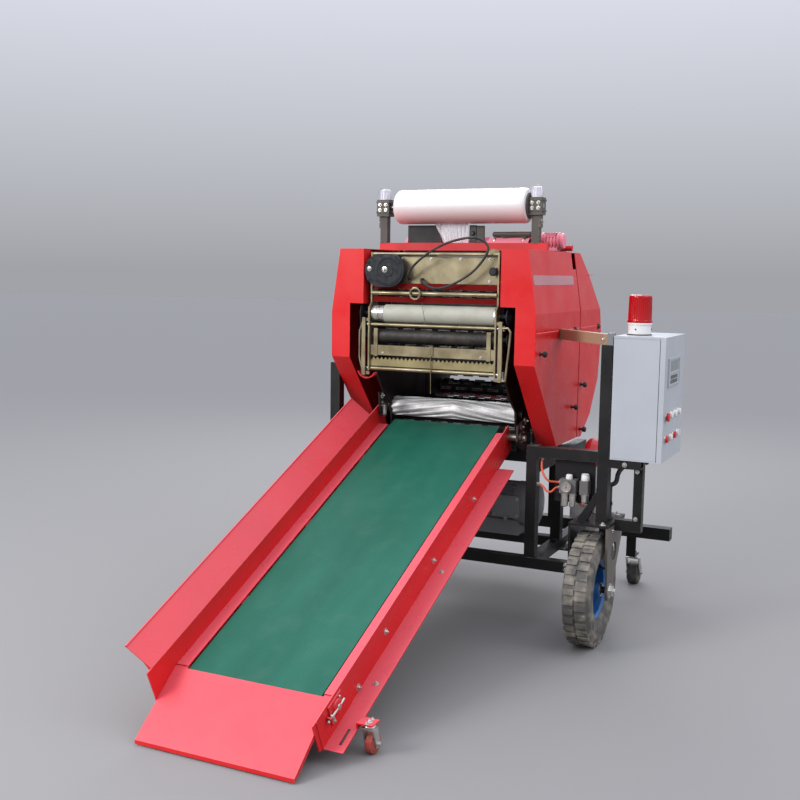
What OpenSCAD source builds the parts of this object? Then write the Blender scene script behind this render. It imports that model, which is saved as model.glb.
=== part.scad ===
// Small round baler with a belt feed conveyor, a film binder, a film roll and a control cabinet
// Millimetres; +Z up, the feed conveyor points to -Y, the control cabinet is on +X

/* [Bale chamber] */
// Distance between the chamber's two side plates
chamber_w = 524; // [440:2:640]
// Radius of the circle that the roller axes lie on
roller_ring_r = 312; // [296:1:316]
// Diameter of a chamber roller
roller_d = 80; // [60:1:84]
// Angle between neighbouring chamber rollers
roller_pitch = 18; // [17:0.5:19]
// Thickness of the chamber's side plates
side_t = 8; // [5:1:10]
// Distance of the chamber's axis behind the covers' front face
chamber_y = 490; // [485:1:495]
// Height of the chamber's axis above the floor
chamber_z = 1005; // [995:1:1010]

/* [Side covers] */
// Height of the covers' top
cover_z = 1412; // [1406:1:1430]
// Height of the bend where the upper side leans inwards
crease_z = 1182; // [1150:1:1195]
// Height of the fold where the front face turns back
fold_z = 998; // [980:1:1010]
// Height of the step in the front face's inner edge
step_z = 1205; // [1196:1:1220]
// Height of the covers' lower edge
cover_low_z = 670; // [660:1:680]
// Distance from the centre to the cover's outer side
cover_out = 412; // [408:1:430]
// Distance from the centre to the top of the cover's outer side
cover_top_out = 378; // [370:1:390]
// Distance from the centre to the front face's lower inner edge
cover_lip = 335; // [325:1:345]
// Thickness of the covers' sheet
sheet_t = 3; // [2:0.5:4]
// Distance of the tailgate's parting line behind the covers' front face
split_y = 560; // [556:1:566]
// Gap along the parting line
split_gap = 10; // [8:1:14]

/* [Base frame] */
// Width of the square frame tube
tube = 40; // [30:1:50]
// Distance of the front posts' axis behind the covers' front face
post_y = 87; // [80:1:100]
// Distance of the rear posts' axis behind the covers' front face
rear_post_y = 700; // [660:1:720]
// Height of the base rails' top
rail_z = 282; // [270:1:300]
// Height of the upper frame's top
deck_z = 640; // [630:1:646]
// Width of the rear cross tube
rear_tube = 50; // [40:1:60]
// Distance of the rear cross tube's axis behind the covers' front face
rear_tube_y = 800; // [780:1:830]
// Length of the rear cross tube
rear_tube_len = 1520; // [1480:1:1560]

/* [Road wheels] */
// Tyre diameter
tyre_d = 410; // [380:1:420]
// Tyre width
tyre_w = 104; // [90:1:108]
// Distance from the centre to the tyre's middle
wheel_x = 627; // [622:1:640]
// Distance of the wheel axle behind the covers' front face
wheel_y = 50; // [30:1:70]
// Rim diameter at the bead
rim_d = 212; // [190:1:230]
// Depth of a tread block
lug_h = 7; // [4:1:10]
// Number of tread blocks around each side of the tyre
lug_count = 36; // [24:2:44]
// Thickness of the fork's plates
fork_t = 8; // [6:1:10]

/* [Conveyor] */
// Belt width
belt_w = 444; // [400:2:460]
// Distance between the head drum's and the tail drum's axes
belt_len = 1456; // [1400:2:1500]
// Diameter of the drums
drum_d = 64; // [56:1:68]
// Belt thickness
belt_t = 3; // [2:0.5:4]
// Height of the head drum's axis
head_z = 709; // [700:1:715]
// Distance of the head drum's axis behind the covers' front face
head_y = 178; // [170:1:186]
// Height of the tail drum's axis
tail_z = 136; // [130:1:142]
// Width of the ledge on the belt's left side
ledge_w = 40; // [34:1:42]
// Width of the ledge on the belt's right side
curb_w = 24; // [18:1:30]
// Height of the wall above the left ledge
wall_h = 72; // [50:1:76]
// Width of the flared board on the left, measured across
board_w = 68; // [60:1:76]
// Depth of the side rails below the belt
rail_d = 100; // [90:1:104]
// Distance from the centre to the outer edges of the rails' lower flanges
flange_out = 316; // [308:1:318]
// Thickness of the conveyor's sheet
rail_t = 4; // [3:0.5:5]
// Length of the apron plate on the slope
apron_len = 212; // [190:1:220]

/* [Castors] */
// Diameter of the conveyor's castor wheels
castor_d = 60; // [50:1:64]
// Height of the conveyor's castors
castor_h = 94; // [90:1:96]
// Diameter of the rear castor wheels
rear_castor_d = 96; // [80:1:110]
// Height of the rear castors
rear_castor_h = 134; // [126:1:140]
// Distance from a rear castor to the centre
rear_castor_x = 590; // [540:1:620]

/* [Film roll] */
// Length of the film roll
roll_len = 550; // [500:2:560]
// Diameter of the film roll
roll_d = 134; // [80:1:150]
// Height of the film roll's axis
roll_z = 1583; // [1560:1:1600]
// Distance of the film roll's axis behind the covers' front face
roll_y = 298; // [290:1:306]
// Width of the stand's square tube
stand_tube = 30; // [24:1:34]

/* [Control cabinet] */
// Width of the cabinet, along the machine
cab_w = 330; // [300:2:360]
// Height of the cabinet
cab_h = 435; // [400:1:460]
// Depth of the cabinet without its door
cab_d = 160; // [140:1:180]
// Height of the cabinet's underside
cab_z = 680; // [670:1:700]
// Distance from the centre to the cabinet's back
cab_x = 684; // [682:1:690]
// Thickness of the cabinet's door
door_t = 18; // [14:1:22]
// Wall thickness of the cabinet
cab_t = 2; // [1.5:0.5:3]

/* [Hidden] */
$fn = 48;

red = [0.78, 0.06, 0.09];
black = [0.07, 0.07, 0.08];
steel = [0.62, 0.62, 0.6];
zinc = [0.72, 0.68, 0.5];
grey = [0.5, 0.52, 0.53];
run_fit = 0.05;
seat_gap = 0.3;

low_y = 288;
side_x = chamber_w / 2;
side_out = side_x + side_t;
cover_in = side_out + 7;
rail_r = tube / 2;
post_x = cover_out - sheet_t - rail_r;
cover_back = [[644, cover_z], [740, cover_z - 87], [854, crease_z], [882, 1075], [853, 890], [743, 745],
    [617, cover_low_z - 4]];
hinge_y = split_y - 3;
hinge_z = cover_z + 18;
hinge_r = 12;
cyl_x = side_out + 70;
cyl_base = [300, deck_z + 60];
eye_arm = 190;
eye_angle = -60;
cyl_eye = [hinge_y + eye_arm * cos(eye_angle), hinge_z + eye_arm * sin(eye_angle)];
rod_show = 66;
barrel_len = norm(cyl_eye - cyl_base) - rod_show;
barrel_r = 26;
clevis_pin_r = 8;
rod_r = 10;

incline = asin((head_z - tail_z) / belt_len);
drum_r = drum_d / 2;
belt_top = drum_r + belt_t;
ledge_x = belt_w / 2 + 6;
wall_x = ledge_x + ledge_w;
curb_x = ledge_x + curb_w;
head_over = 20;
flange_stop = 130;
tail_cut = 12;
tail_over = 120;
board_stop = 92;
castor_x = flange_out + 30;
castor_y = head_y - cos(incline) * belt_len + 30;
castor_trail = 20;
rear_castor_y = rear_tube_y + rear_tube / 2 + 46;
rear_trail = 30;

tyre_r = tyre_d / 2;
rim_r = rim_d / 2;
axle_r = 12.5;
hub_r = 26;
fork_in = wheel_x - tyre_w / 2 - 12;
fork_out = wheel_x + tyre_w / 2 + 12;
fork_top = tyre_d + 30;
post_out_x = 660;
roll_left_x = -335;
roll_right_x = 305;
spindle_r = 10;
clamp_w = 26;
stand_half = 352;

apron_slope = 39;
apron_top = [head_y - cos(incline) * belt_len - drum_r - 14, tail_z + 14];
door_gap = 2;
button_h = 14;
door_x = cab_x + cab_d + door_gap;
x_low = -rear_tube_len / 2;
x_high = door_x + door_t + button_h;
y_low = apron_top[0] - apron_len * cos(apron_slope);
y_high = rear_castor_y + rear_trail + rear_castor_d / 2;
x_mid = (x_low + x_high) / 2;
y_mid = (y_low + y_high) / 2;

module place() {
    translate([-x_mid, -y_mid, 0]) children();
}

module block(a, b) {
    translate(a) cube(b - a);
}

module beam_x(x0, x1, y, z, w = tube) {
    block([x0, y - w / 2, z - w / 2], [x1, y + w / 2, z + w / 2]);
}

module bar_x(r, x0, x1, y, z) {
    translate([x0, y, z]) rotate([0, 90, 0]) cylinder(r = r, h = x1 - x0);
}

module bar_y(r, y0, y1, x, z) {
    translate([x, y0, z]) rotate([-90, 0, 0]) cylinder(r = r, h = y1 - y0);
}

module side_sheet(x, t) {
    translate([x, 0, 0]) rotate([90, 0, 90]) linear_extrude(t) children();
}

module front_sheet(y, t) {
    translate([0, y + t, 0]) rotate([90, 0, 0]) linear_extrude(t) children();
}

module both_sides() {
    children();
    mirror([1, 0, 0]) children();
}

module on_conveyor() {
    translate([0, head_y, head_z]) rotate([incline, 0, 0]) children();
}

tie_z = 680;
post_top = tie_z + rail_r;
stay_x = cover_out + 3 + rail_r;
stay_top = 965;
stand_y = post_y - 20;
mid_post_y = 400;
strut_foot = 585;
strut_z = 560;

module base_frame() {
    color(black) {
        both_sides() {
            block([post_x - rail_r, post_y - rail_r, rail_z], [post_x + rail_r, post_y + rail_r, post_top]);
            block([post_x - rail_r, rear_post_y - rail_r, rail_z],
                [post_x + rail_r, rear_post_y + rail_r, deck_z - tube]);
            block([post_x - rail_r, post_y + rail_r, rail_z - tube], [post_x + rail_r, rear_tube_y, rail_z]);
            block([post_x - rail_r, post_y + rail_r, deck_z - tube], [post_x + rail_r, rear_post_y + rail_r, deck_z]);
        }
        beam_x(fork_t - fork_in, fork_in - fork_t, post_y, rail_z - rail_r);
        block([post_x - rail_r, mid_post_y - rail_r, rail_z], [post_x + rail_r, mid_post_y + rail_r, deck_z - tube]);
        beam_x(-post_x, post_x, 440, rail_z - rail_r);
        beam_x(-post_x, post_x, cyl_base[0], deck_z - rail_r);
        beam_x(-post_x, post_x, 520, deck_z - rail_r);
        beam_x(-rear_tube_len / 2, rear_tube_len / 2, rear_tube_y, rail_z - rear_tube / 2, rear_tube);
        beam_x(post_x + rail_r, post_out_x - rail_r, post_y, tie_z);
        beam_x(rail_r - stay_x, -post_x - rail_r, post_y, tie_z);
        block([-stay_x - rail_r, post_y - rail_r, tie_z - rail_r], [rail_r - stay_x, post_y + rail_r, stay_top]);
        block([post_x + rail_r, 380, rail_z - tube], [post_x + 190, 520, rail_z - tube + 6]);
    }
}

module roller_marks(angles) {
    for (a = angles)
        translate([0, chamber_y + roller_ring_r * cos(a), chamber_z + roller_ring_r * sin(a)]) children();
}

fixed_angles = [for (k = [0:5]) 180 - k * roller_pitch];
under_angles = [246, 266];
tail_angles = [for (k = [-4:4]) k * roller_pitch];
infeed_angle = 224;

shaft_r = 12.5;
bracket_x = side_out + 28;

module bearing(x) {
    translate([x, 0, 0]) rotate([0, 90, 0]) cylinder(r = 24, h = 16);
}

module chamber_sides() {
    color([0.25, 0.06, 0.07]) {
        both_sides() {
            side_sheet(side_x, side_t)
                polygon([[60, fold_z - 20], [150, 860], [222, 800], [246, deck_z], [split_y - 5, deck_z],
                    [split_y - 5, 1400], [roll_y + stand_tube / 2, 1400], [roll_y + stand_tube / 2, cover_z],
                    [roll_y - stand_tube / 2, cover_z], [roll_y - stand_tube / 2, 1400], [60, 1400]]);
            side_sheet(bracket_x, side_t) difference() {
                polygon([[282, deck_z], [318, deck_z], [318, 740], [240, 780], [150, 756], [144, 700],
                    [190, 664]]);
                translate([head_y, head_z]) circle(r = shaft_r + run_fit);
            }
            translate([bracket_x + side_t, head_y, head_z]) rotate([0, 90, 0]) difference() {
                cylinder(r = 30, h = 10);
                translate([0, 0, -1]) cylinder(r = shaft_r + run_fit, h = 12);
            }
            roller_marks(concat(fixed_angles, under_angles, [infeed_angle])) bearing(side_out);
            translate([side_out, cyl_base[0] - 26, deck_z]) cube([cyl_x - 22 - side_out, 52, 8]);
            side_sheet(side_out, 26) difference() {
                polygon([[hinge_y - 66, 1330], [hinge_y - 6, 1330], [hinge_y + 24, hinge_z - 6],
                    [hinge_y + 18, hinge_z + 18], [hinge_y - 18, hinge_z + 18], [hinge_y - 66, 1370]]);
                translate([hinge_y, hinge_z]) circle(r = hinge_r);
            }
        }
        bar_x(hinge_r, -side_out - 100, side_out + 100, hinge_y, hinge_z);
        both_sides() side_sheet(cyl_x - 22, 8) difference() {
            polygon([[cyl_base[0] - 20, deck_z], [cyl_base[0] + 20, deck_z],
                [cyl_base[0] + 20, cyl_base[1] + 20], [cyl_base[0] - 20, cyl_base[1] + 20]]);
            translate(cyl_base) circle(r = clevis_pin_r);
        }
        both_sides() bar_x(clevis_pin_r, cyl_x - 22, cyl_x + 22, cyl_base[0], cyl_base[1]);
        beam_x(-stand_half, stand_half, roll_y, cover_z + stand_tube / 2, stand_tube);
    }
}

module ribbed_roller(len, ribs = 8) {
    rotate([90, 0, 90]) translate([0, 0, -len / 2]) linear_extrude(len) {
        circle(r = roller_d / 2 - 5);
        for (k = [0:ribs - 1]) rotate(k * 360 / ribs) translate([0, -4]) square([roller_d / 2, 8]);
    }
}

module chamber_rollers() {
    color(grey) roller_marks(concat(fixed_angles, under_angles)) ribbed_roller(chamber_w);
}

module infeed_roller() {
    color(steel) roller_marks([infeed_angle]) ribbed_roller(chamber_w, 10);
}

module cover_half(tail) {
    y0 = split_y + split_gap / 2;
    outline = tail
        ? concat([[y0, cover_z]], cover_back, [[y0, cover_low_z]])
        : [[0, cover_z], [split_y - split_gap / 2 - 40, cover_z], [split_y - split_gap / 2 - 40, cover_z - 66],
            [split_y - split_gap / 2, cover_z - 66], [split_y - split_gap / 2, cover_low_z],
            [low_y, cover_low_z], [0, fold_z]];
    intersection() {
        side_sheet(cover_out - sheet_t, sheet_t) polygon(outline);
        block([0, -10, 0], [cover_out + 10, 1000, crease_z]);
    }
    intersection() {
        side_sheet(0, cover_out + 50) polygon(outline);
        translate([0, 1000, 0]) rotate([90, 0, 0]) linear_extrude(1100)
            polygon([[cover_out - sheet_t, crease_z], [cover_out, crease_z], [cover_top_out, cover_z],
                [cover_top_out - sheet_t, cover_z]]);
    }
}

module cover_right() {
    color(red) {
        cover_half(false);
        front_sheet(0, sheet_t) polygon([[cover_in, cover_z], [cover_top_out, cover_z], [cover_out, crease_z],
            [cover_out, fold_z], [cover_lip, fold_z], [cover_lip, step_z], [cover_in, step_z]]);
        intersection() {
            side_sheet(cover_lip, cover_out - cover_lip)
                polygon([[0, fold_z], [low_y, cover_low_z], [low_y + sheet_t, cover_low_z], [sheet_t, fold_z]]);
            block([0, -1, 0], [cover_out, 1000, fold_z]);
        }
        block([cover_in, 0, cover_z - sheet_t], [cover_top_out, split_y - 45, cover_z]);
        block([cover_in, 0, step_z], [cover_in + sheet_t, 56, cover_z]);
    }
}

module cover_left() {
    mirror([1, 0, 0]) cover_right();
}

module top_hood() {
    color(red) side_sheet(-side_x, chamber_w) difference() {
        polygon([[330, 1400], [330, 1448], [350, 1466], [500, 1466], [528, 1448], [528, 1400]]);
        polygon([[333, 1399], [333, 1447], [351, 1463], [499, 1463], [525, 1447], [525, 1399]]);
    }
}

guard_r = 62;
flat_y = 8;
flat_t = 6;
press_z = 1168;
press_y = 46;
film_z = 1084;
film_y = 46;
journal_r = 9;

module binder_sides() {
    color(steel) both_sides() {
        side_sheet(side_x - 2 - flat_t, flat_t) difference() {
            polygon([[flat_y, 950], [flat_y + 70, 950], [flat_y + 70, 1400], [flat_y + 20, 1400],
                [flat_y + 20, 1210], [flat_y, 1190]]);
            translate([press_y, press_z]) circle(r = journal_r + run_fit);
            translate([film_y, film_z]) circle(r = journal_r + run_fit);
        }
        block([side_x - 2, 62, 1300], [side_x, 76, 1380]);
    }
}

module binder_bars() {
    w = side_x - 2 - flat_t;
    color(zinc) {
        block([-w, 50, 1284], [w, 54, 1386]);
        bar_x(6, -w, w, 36, 1393);
        bar_x(8, -w, w, 28, 1246);
        bar_x(6, -w, w, 20, 1126);
        block([-w, 16, 1010], [w, 20, 1048]);
        bar_x(7, -w, w, 22, 958);
    }
}

module binder_knife() {
    w = side_x - 2 - flat_t;
    color(zinc) {
        side_sheet(-w, 2 * w) polygon([[18, 968], [44, 968], [44, 971], [21, 971], [21, 990], [18, 990]]);
        front_sheet(22, 3) polygon(concat([[-w, 976], [w, 976], [w, 992]],
            [for (k = [0:59]) [w - (k + 0.5) * 2 * w / 60, 992 + (k % 2 == 0 ? 10 : 0)]], [[-w, 992]]));
    }
    color(red) {
        block([-w, 34, 1262], [w, 40, 1283]);
        block([-w, 34, 1212], [w, 60, 1232]);
    }
}

module binder_guard() {
    color(black) front_sheet(flat_y - 4, 24) union() {
        translate([-side_x + 51, 1331]) circle(r = guard_r);
        translate([-side_x + 89, 1331]) circle(r = guard_r);
        translate([-side_x + 51, 1331 - guard_r]) square([38, 2 * guard_r]);
    }
}

module binder_motor() {
    color(red) {
        bar_x(28, 282, 364, 440, cover_z + 42);
        for (k = [0:5]) bar_x(33, 286 + k * 13, 292 + k * 13, 440, cover_z + 42);
        block([290, 420, cover_z], [350, 460, cover_z + 24]);
    }
}

cable_path = [[-105, 49.7, 1300], [-105, 40, 1300], [-100, 20, 1312], [-85, 8, 1334], [-40, -6, 1372],
    [25, -16, 1412], [95, -14, 1440], [165, -6, 1452], [205, 4, 1440], [222, 10, 1415], [205, 10, 1375], [165, 8, 1330],
    [105, 8, 1292], [55, 10, 1272],
    [10, 8, 1268], [-30, 12, 1284], [-50, 30, 1298], [-52, 40, 1300], [-52, 49.7, 1300]];
cable_r = 4.5;

module swept_tube(path, r, sides = 8) {
    n = len(path);
    dirs = [for (i = [0:n - 1])
        let (d = path[min(i + 1, n - 1)] - path[max(i - 1, 0)]) d / norm(d)];
    rings = [for (i = [0:n - 1])
        let (d = dirs[i],
            u0 = cross(d, abs(d[1]) < 0.9 ? [0, 1, 0] : [1, 0, 0]),
            u = u0 / norm(u0),
            v = cross(d, u))
        for (k = [0:sides - 1]) path[i] + r * (cos(k * 360 / sides) * u + sin(k * 360 / sides) * v)];
    faces = concat(
        [[for (k = [0:sides - 1]) k]],
        [[for (k = [sides - 1:-1:0]) (n - 1) * sides + k]],
        [for (i = [0:n - 2]) for (k = [0:sides - 1])
            [i * sides + k, (i + 1) * sides + k, (i + 1) * sides + (k + 1) % sides]],
        [for (i = [0:n - 2]) for (k = [0:sides - 1])
            [i * sides + k, (i + 1) * sides + (k + 1) % sides, i * sides + (k + 1) % sides]]);
    polyhedron(points = rings, faces = faces);
}

module binder_cable() {
    color(black) swept_tube(cable_path, cable_r);
}

module press_roller() {
    color([0.68, 0.72, 0.68]) {
        bar_x(35, -side_x + 62, side_x - 14, press_y, press_z);
        bar_x(journal_r, -side_x + 1, side_x - 1, press_y, press_z);
    }
    color(steel) for (k = [0:6]) bar_x(30, -side_x + 11 + k * 7, -side_x + 15 + k * 7, press_y, press_z);
}

module film_roller() {
    color([0.2, 0.2, 0.21]) {
        bar_x(24, -side_x + 14, side_x - 14, film_y, film_z);
        bar_x(journal_r, -side_x + 1, side_x - 1, film_y, film_z);
    }
}

module roll_stand() {
    color([0.45, 0.45, 0.47]) for (x = [roll_left_x, roll_right_x]) {
        block([x - stand_tube / 2, roll_y - stand_tube / 2, cover_z + stand_tube],
            [x + stand_tube / 2, roll_y + stand_tube / 2, roll_z - 36]);
        difference() {
            block([x - clamp_w, roll_y - 26, roll_z - 36], [x + clamp_w, roll_y + 26, roll_z + 30]);
            bar_x(spindle_r + run_fit, x - clamp_w - 1, x + clamp_w + 1, roll_y, roll_z);
        }
        translate([x, roll_y, roll_z + 30]) cylinder(r1 = 22, r2 = 18, h = 38);
    }
}

module film_roll() {
    color([0.95, 0.95, 0.96]) translate([0, roll_y, roll_z]) rotate([90, 0, 90]) rotate_extrude() {
        translate([spindle_r + 12, -roll_len / 2]) square([roll_d / 2 - spindle_r - 12, roll_len]);
    }
}

module roll_spindle() {
    color(steel) {
        bar_x(spindle_r, roll_left_x - clamp_w, roll_right_x + clamp_w, roll_y, roll_z);
        for (s = [-1, 1]) bar_x(spindle_r + 11.8, s * (roll_len / 2 - 15) - 15, s * (roll_len / 2 - 15) + 15, roll_y,
            roll_z);
    }
}

module film_tray() {
    color([0.22, 0.23, 0.25]) {
        block([-240, roll_y + stand_tube / 2, cover_z], [-96, roll_y + stand_tube / 2 + 10, cover_z + 100]);
        block([-side_x + 2, roll_y + stand_tube / 2, cover_z], [side_x - 2, roll_y + stand_tube / 2 + 10,
            cover_z + 20]);
    }
}

module fork_plate(x) {
    side_sheet(x, fork_t) difference() {
        union() {
            polygon([[wheel_y - 50, fork_top], [wheel_y - 50, fork_top - 40], [wheel_y - 32, tyre_r - 10],
                [wheel_y + 32, tyre_r - 10], [wheel_y + 150, fork_top - 60], [wheel_y + 190, fork_top]]);
            translate([wheel_y, tyre_r]) circle(r = 36);
        }
        translate([wheel_y + 46, fork_top - 100]) circle(r = 34);
    }
}

module wheel_fork() {
    color(black) {
        fork_plate(fork_in - fork_t);
        block([fork_in - fork_t, wheel_y - 50, fork_top], [fork_out + fork_t, wheel_y + 190, fork_top + fork_t]);
    }
    color(grey) fork_plate(fork_out);
    color(steel) {
        bar_x(axle_r, fork_in, fork_out, wheel_y, tyre_r);
        bar_x(18, fork_out + fork_t, fork_out + fork_t + 12, wheel_y, tyre_r);
    }
}

module fork_right() {
    wheel_fork();
}

module fork_left() {
    mirror([1, 0, 0]) wheel_fork();
}

lug_share = 0.56;

module tread_ring(offset_angle, x0, x1) {
    rotate([90, 0, 90]) translate([0, 0, x0]) linear_extrude(x1 - x0) difference() {
        union() {
            circle(r = tyre_r - lug_h, $fn = 96);
            intersection() {
                circle(r = tyre_r, $fn = 96);
                for (k = [0:lug_count - 1]) rotate(offset_angle + k * 360 / lug_count)
                    translate([tyre_r - lug_h - 4, -tyre_r * PI / lug_count * lug_share])
                        square([lug_h + 8, tyre_r * 2 * PI / lug_count * lug_share]);
            }
        }
        circle(r = rim_r + 30);
    }
}

module tyre() {
    color([0.2, 0.2, 0.2]) translate([wheel_x, wheel_y, tyre_r]) {
        tread_ring(0, -tyre_w / 2 + 12, -3);
        tread_ring(180 / lug_count, 3, tyre_w / 2 - 12);
        rotate([90, 0, 90]) rotate_extrude($fn = 96) polygon([[rim_r + seat_gap, -tyre_w / 2 + 20],
            [rim_r + 14, -tyre_w / 2 + 6], [rim_r + 40, -tyre_w / 2], [tyre_r - 30, -tyre_w / 2 + 2],
            [tyre_r - lug_h - 4, -tyre_w / 2 + 14], [tyre_r - lug_h, -3], [tyre_r - lug_h, 3],
            [tyre_r - lug_h - 4, tyre_w / 2 - 14], [tyre_r - 30, tyre_w / 2 - 2], [rim_r + 40, tyre_w / 2],
            [rim_r + 14, tyre_w / 2 - 6], [rim_r + seat_gap, tyre_w / 2 - 20]]);
    }
}

rim_holes = 6;

module rim() {
    w = tyre_w / 2 - 20;
    color([0.05, 0.25, 0.6]) translate([wheel_x, wheel_y, tyre_r]) rotate([90, 0, 90]) difference() {
        rotate_extrude($fn = 96)
            polygon([[axle_r + run_fit, -w - 8], [hub_r, -w - 8], [hub_r, -8], [rim_r - 14, -8], [rim_r - 14, -w + 6],
                [rim_r - 4, -w], [rim_r, -w], [rim_r, w], [rim_r - 4, w], [rim_r - 14, w - 6], [rim_r - 14, -3],
                [hub_r, -3], [hub_r, w + 8], [axle_r + run_fit, w + 8]]);
        for (k = [0:rim_holes - 1]) rotate(k * 360 / rim_holes) translate([(hub_r + rim_r - 14) / 2, 0, -10])
            cylinder(r = 10, h = 10);
    }
}

module tyre_right() {
    tyre();
}

module tyre_left() {
    mirror([1, 0, 0]) tyre();
}

module rim_right() {
    rim();
}

module rim_left() {
    mirror([1, 0, 0]) rim();
}

stand_top = 1082;

module cabinet_stand() {
    color(black) {
        block([post_out_x - rail_r, stand_y - rail_r, fork_top + fork_t], [post_out_x + rail_r, stand_y + rail_r,
            stand_top]);
        block([post_out_x + rail_r, stand_y - rail_r, cab_z - 30], [cab_x + 110, stand_y + rail_r, cab_z - 25]);
        block([post_out_x + rail_r, stand_y - rail_r, cab_z - 25], [cab_x + 110, stand_y - rail_r + 5, cab_z]);
        block([cab_x + 78, stand_y + 20, fork_top + fork_t + 10], [cab_x + 110, stand_y + 52, cab_z]);
        block([fork_out + fork_t, stand_y + 20, fork_top + fork_t - 30],
            [cab_x + 110, stand_y + 52, fork_top + fork_t + 10]);
        front_sheet(stand_y - 15, 30) polygon([[strut_foot - 16, fork_top + fork_t], [strut_foot + 20, fork_top + fork_t],
            [post_out_x - rail_r, strut_z - 36], [post_out_x - rail_r, strut_z]]);
    }
    color([0.6, 0.52, 0.42]) hull() {
        translate([cover_out, 285, stand_top]) cube([4, 40, 38]);
        translate([post_out_x - 14, stand_y - 16, stand_top]) cube([14, 32, 38]);
    }
    color(grey) block([post_out_x, stand_y - 18, stand_top], [post_out_x + rail_r, stand_y + 18, stand_top + 42]);
}

cab_front = 45;

module cabinet_box() {
    color([0.83, 0.86, 0.88]) difference() {
        block([cab_x, cab_front, cab_z], [cab_x + cab_d, cab_front + cab_w, cab_z + cab_h]);
        block([cab_x + cab_t, cab_front + cab_t, cab_z + cab_t],
            [cab_x + cab_d + 1, cab_front + cab_w - cab_t, cab_z + cab_h - cab_t]);
    }
    color(steel) for (z = [cab_z + 60, cab_z + cab_h - 60 - knuckle_h]) {
        block([cab_x + cab_d - 30, cab_front + cab_w, z], [cab_x + cab_d, cab_front + cab_w + 3, z + knuckle_h]);
        block([cab_x + cab_d, cab_front + cab_w + seat_gap, z], [door_hinge[0], cab_front + cab_w + 3,
            z + knuckle_h]);
        translate([door_hinge[0], door_hinge[1], z]) cylinder(r = knuckle_r - seat_gap, h = knuckle_h);
    }
}

module cabinet_gear() {
    color([0.75, 0.75, 0.72]) {
        block([cab_x + cab_t, cab_front + 20, cab_z + 20], [cab_x + cab_t + 3, cab_front + cab_w - 20,
            cab_z + cab_h - 20]);
        for (k = [0:5]) block([cab_x + cab_t + 3, cab_front + 40 + k * 42, cab_z + 300],
            [cab_x + 70, cab_front + 74 + k * 42, cab_z + 380]);
        block([cab_x + cab_t + 3, cab_front + 40, cab_z + 140], [cab_x + 100, cab_front + 160, cab_z + 260]);
        block([cab_x + cab_t + 3, cab_front + 190, cab_z + 140], [cab_x + 90, cab_front + 290, cab_z + 260]);
    }
}

knuckle_r = 6;
door_hinge = [door_x + door_t / 2, cab_front + cab_w + knuckle_r];
knuckle_h = 28;
pin_h = 16;

module cabinet_door() {
    color([0.83, 0.86, 0.88]) {
        difference() {
            block([door_x, cab_front, cab_z], [door_x + door_t, cab_front + cab_w, cab_z + cab_h]);
            block([door_x - 1, cab_front + 3, cab_z + 3],
                [door_x + door_t - 2, cab_front + cab_w - 3, cab_z + cab_h - 3]);
        }
    }
    color(steel) for (z = [cab_z + 60, cab_z + cab_h - 60 - knuckle_h])
        translate([door_hinge[0], door_hinge[1], z + knuckle_h + seat_gap]) {
            cylinder(r = knuckle_r, h = pin_h);
            translate([-2, -knuckle_r - 1, 0]) cube([4, knuckle_r + 1, pin_h]);
        }
}

module door_controls() {
    x = door_x + door_t;
    color([0.3, 0.33, 0.36]) block([x, cab_front + 50, cab_z + 260], [x + 5, cab_front + 236, cab_z + 362]);
    for (k = [0:3]) color(k == 0 ? red : [0.8, 0.8, 0.8])
        for (row = [0, 1]) translate([x, cab_front + 45 + k * 66, cab_z + 158 - row * 78])
            rotate([0, 90, 0]) cylinder(r = 14, h = button_h);
}

beacon_x = cab_x + 58;
beacon_y = cab_front + 125;

module beacon_base() {
    color([0.85, 0.85, 0.83]) translate([beacon_x, beacon_y, cab_z + cab_h]) {
        cylinder(r = 40, h = 38);
        translate([0, 0, 38]) cylinder(r = 43, h = 6);
    }
}

module beacon_lens() {
    color([0.85, 0.05, 0.05]) translate([beacon_x, beacon_y, cab_z + cab_h + 44]) {
        cylinder(r = 44, h = 8);
        translate([0, 0, 8]) cylinder(r1 = 40, r2 = 37, h = 90);
    }
}

drive_y = 440;
drive_z = rail_z + 120;
motor_x = 20;
motor_len = 260;
motor_r = 80;
motor_fins = 24;
fin_depth = 8;
motor_face = 50;
cowl_len = 60;

module drive_motor() {
    fins_x = motor_x + motor_face;
    cowl_x = motor_x + motor_len - cowl_len;
    outer_r = motor_r + fin_depth;
    color(grey) {
        bar_x(outer_r, motor_x, fins_x, drive_y, drive_z);
        translate([fins_x, drive_y, drive_z]) rotate([90, 0, 90]) linear_extrude(cowl_x - fins_x) {
            circle(r = motor_r);
            for (k = [0:motor_fins - 1]) rotate(k * 360 / motor_fins) translate([0, -1.5]) square([outer_r, 3]);
        }
        bar_x(outer_r + 2, cowl_x, motor_x + motor_len, drive_y, drive_z);
        block([fins_x - 10, drive_y - 70, rail_z], [cowl_x + 20, drive_y + 70, rail_z + 60]);
        block([fins_x + 70, drive_y - 104, drive_z - 42], [fins_x + 182, drive_y - 68, drive_z + 44]);
    }
}

gearbox_w = 210;
gearbox_depth = 180;
gearbox_h = 230;
chain_x = -side_out - 24;
chain_r = 46;
chain_end = [chamber_y + roller_ring_r * cos(under_angles[0]), chamber_z + roller_ring_r * sin(under_angles[0])];

module chain_loop(x, p, q) {
    way = q - p;
    side_sheet(x, 12) translate(p) rotate(atan2(way[1], way[0])) difference() {
        union() {
            circle(r = chain_r);
            translate([norm(way), 0]) circle(r = chain_r);
            translate([0, -chain_r]) square([norm(way), 2 * chain_r]);
        }
        circle(r = chain_r - 9);
        translate([norm(way), 0]) circle(r = chain_r - 9);
        translate([0, 9 - chain_r]) square([norm(way), 2 * chain_r - 18]);
    }
}

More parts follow.
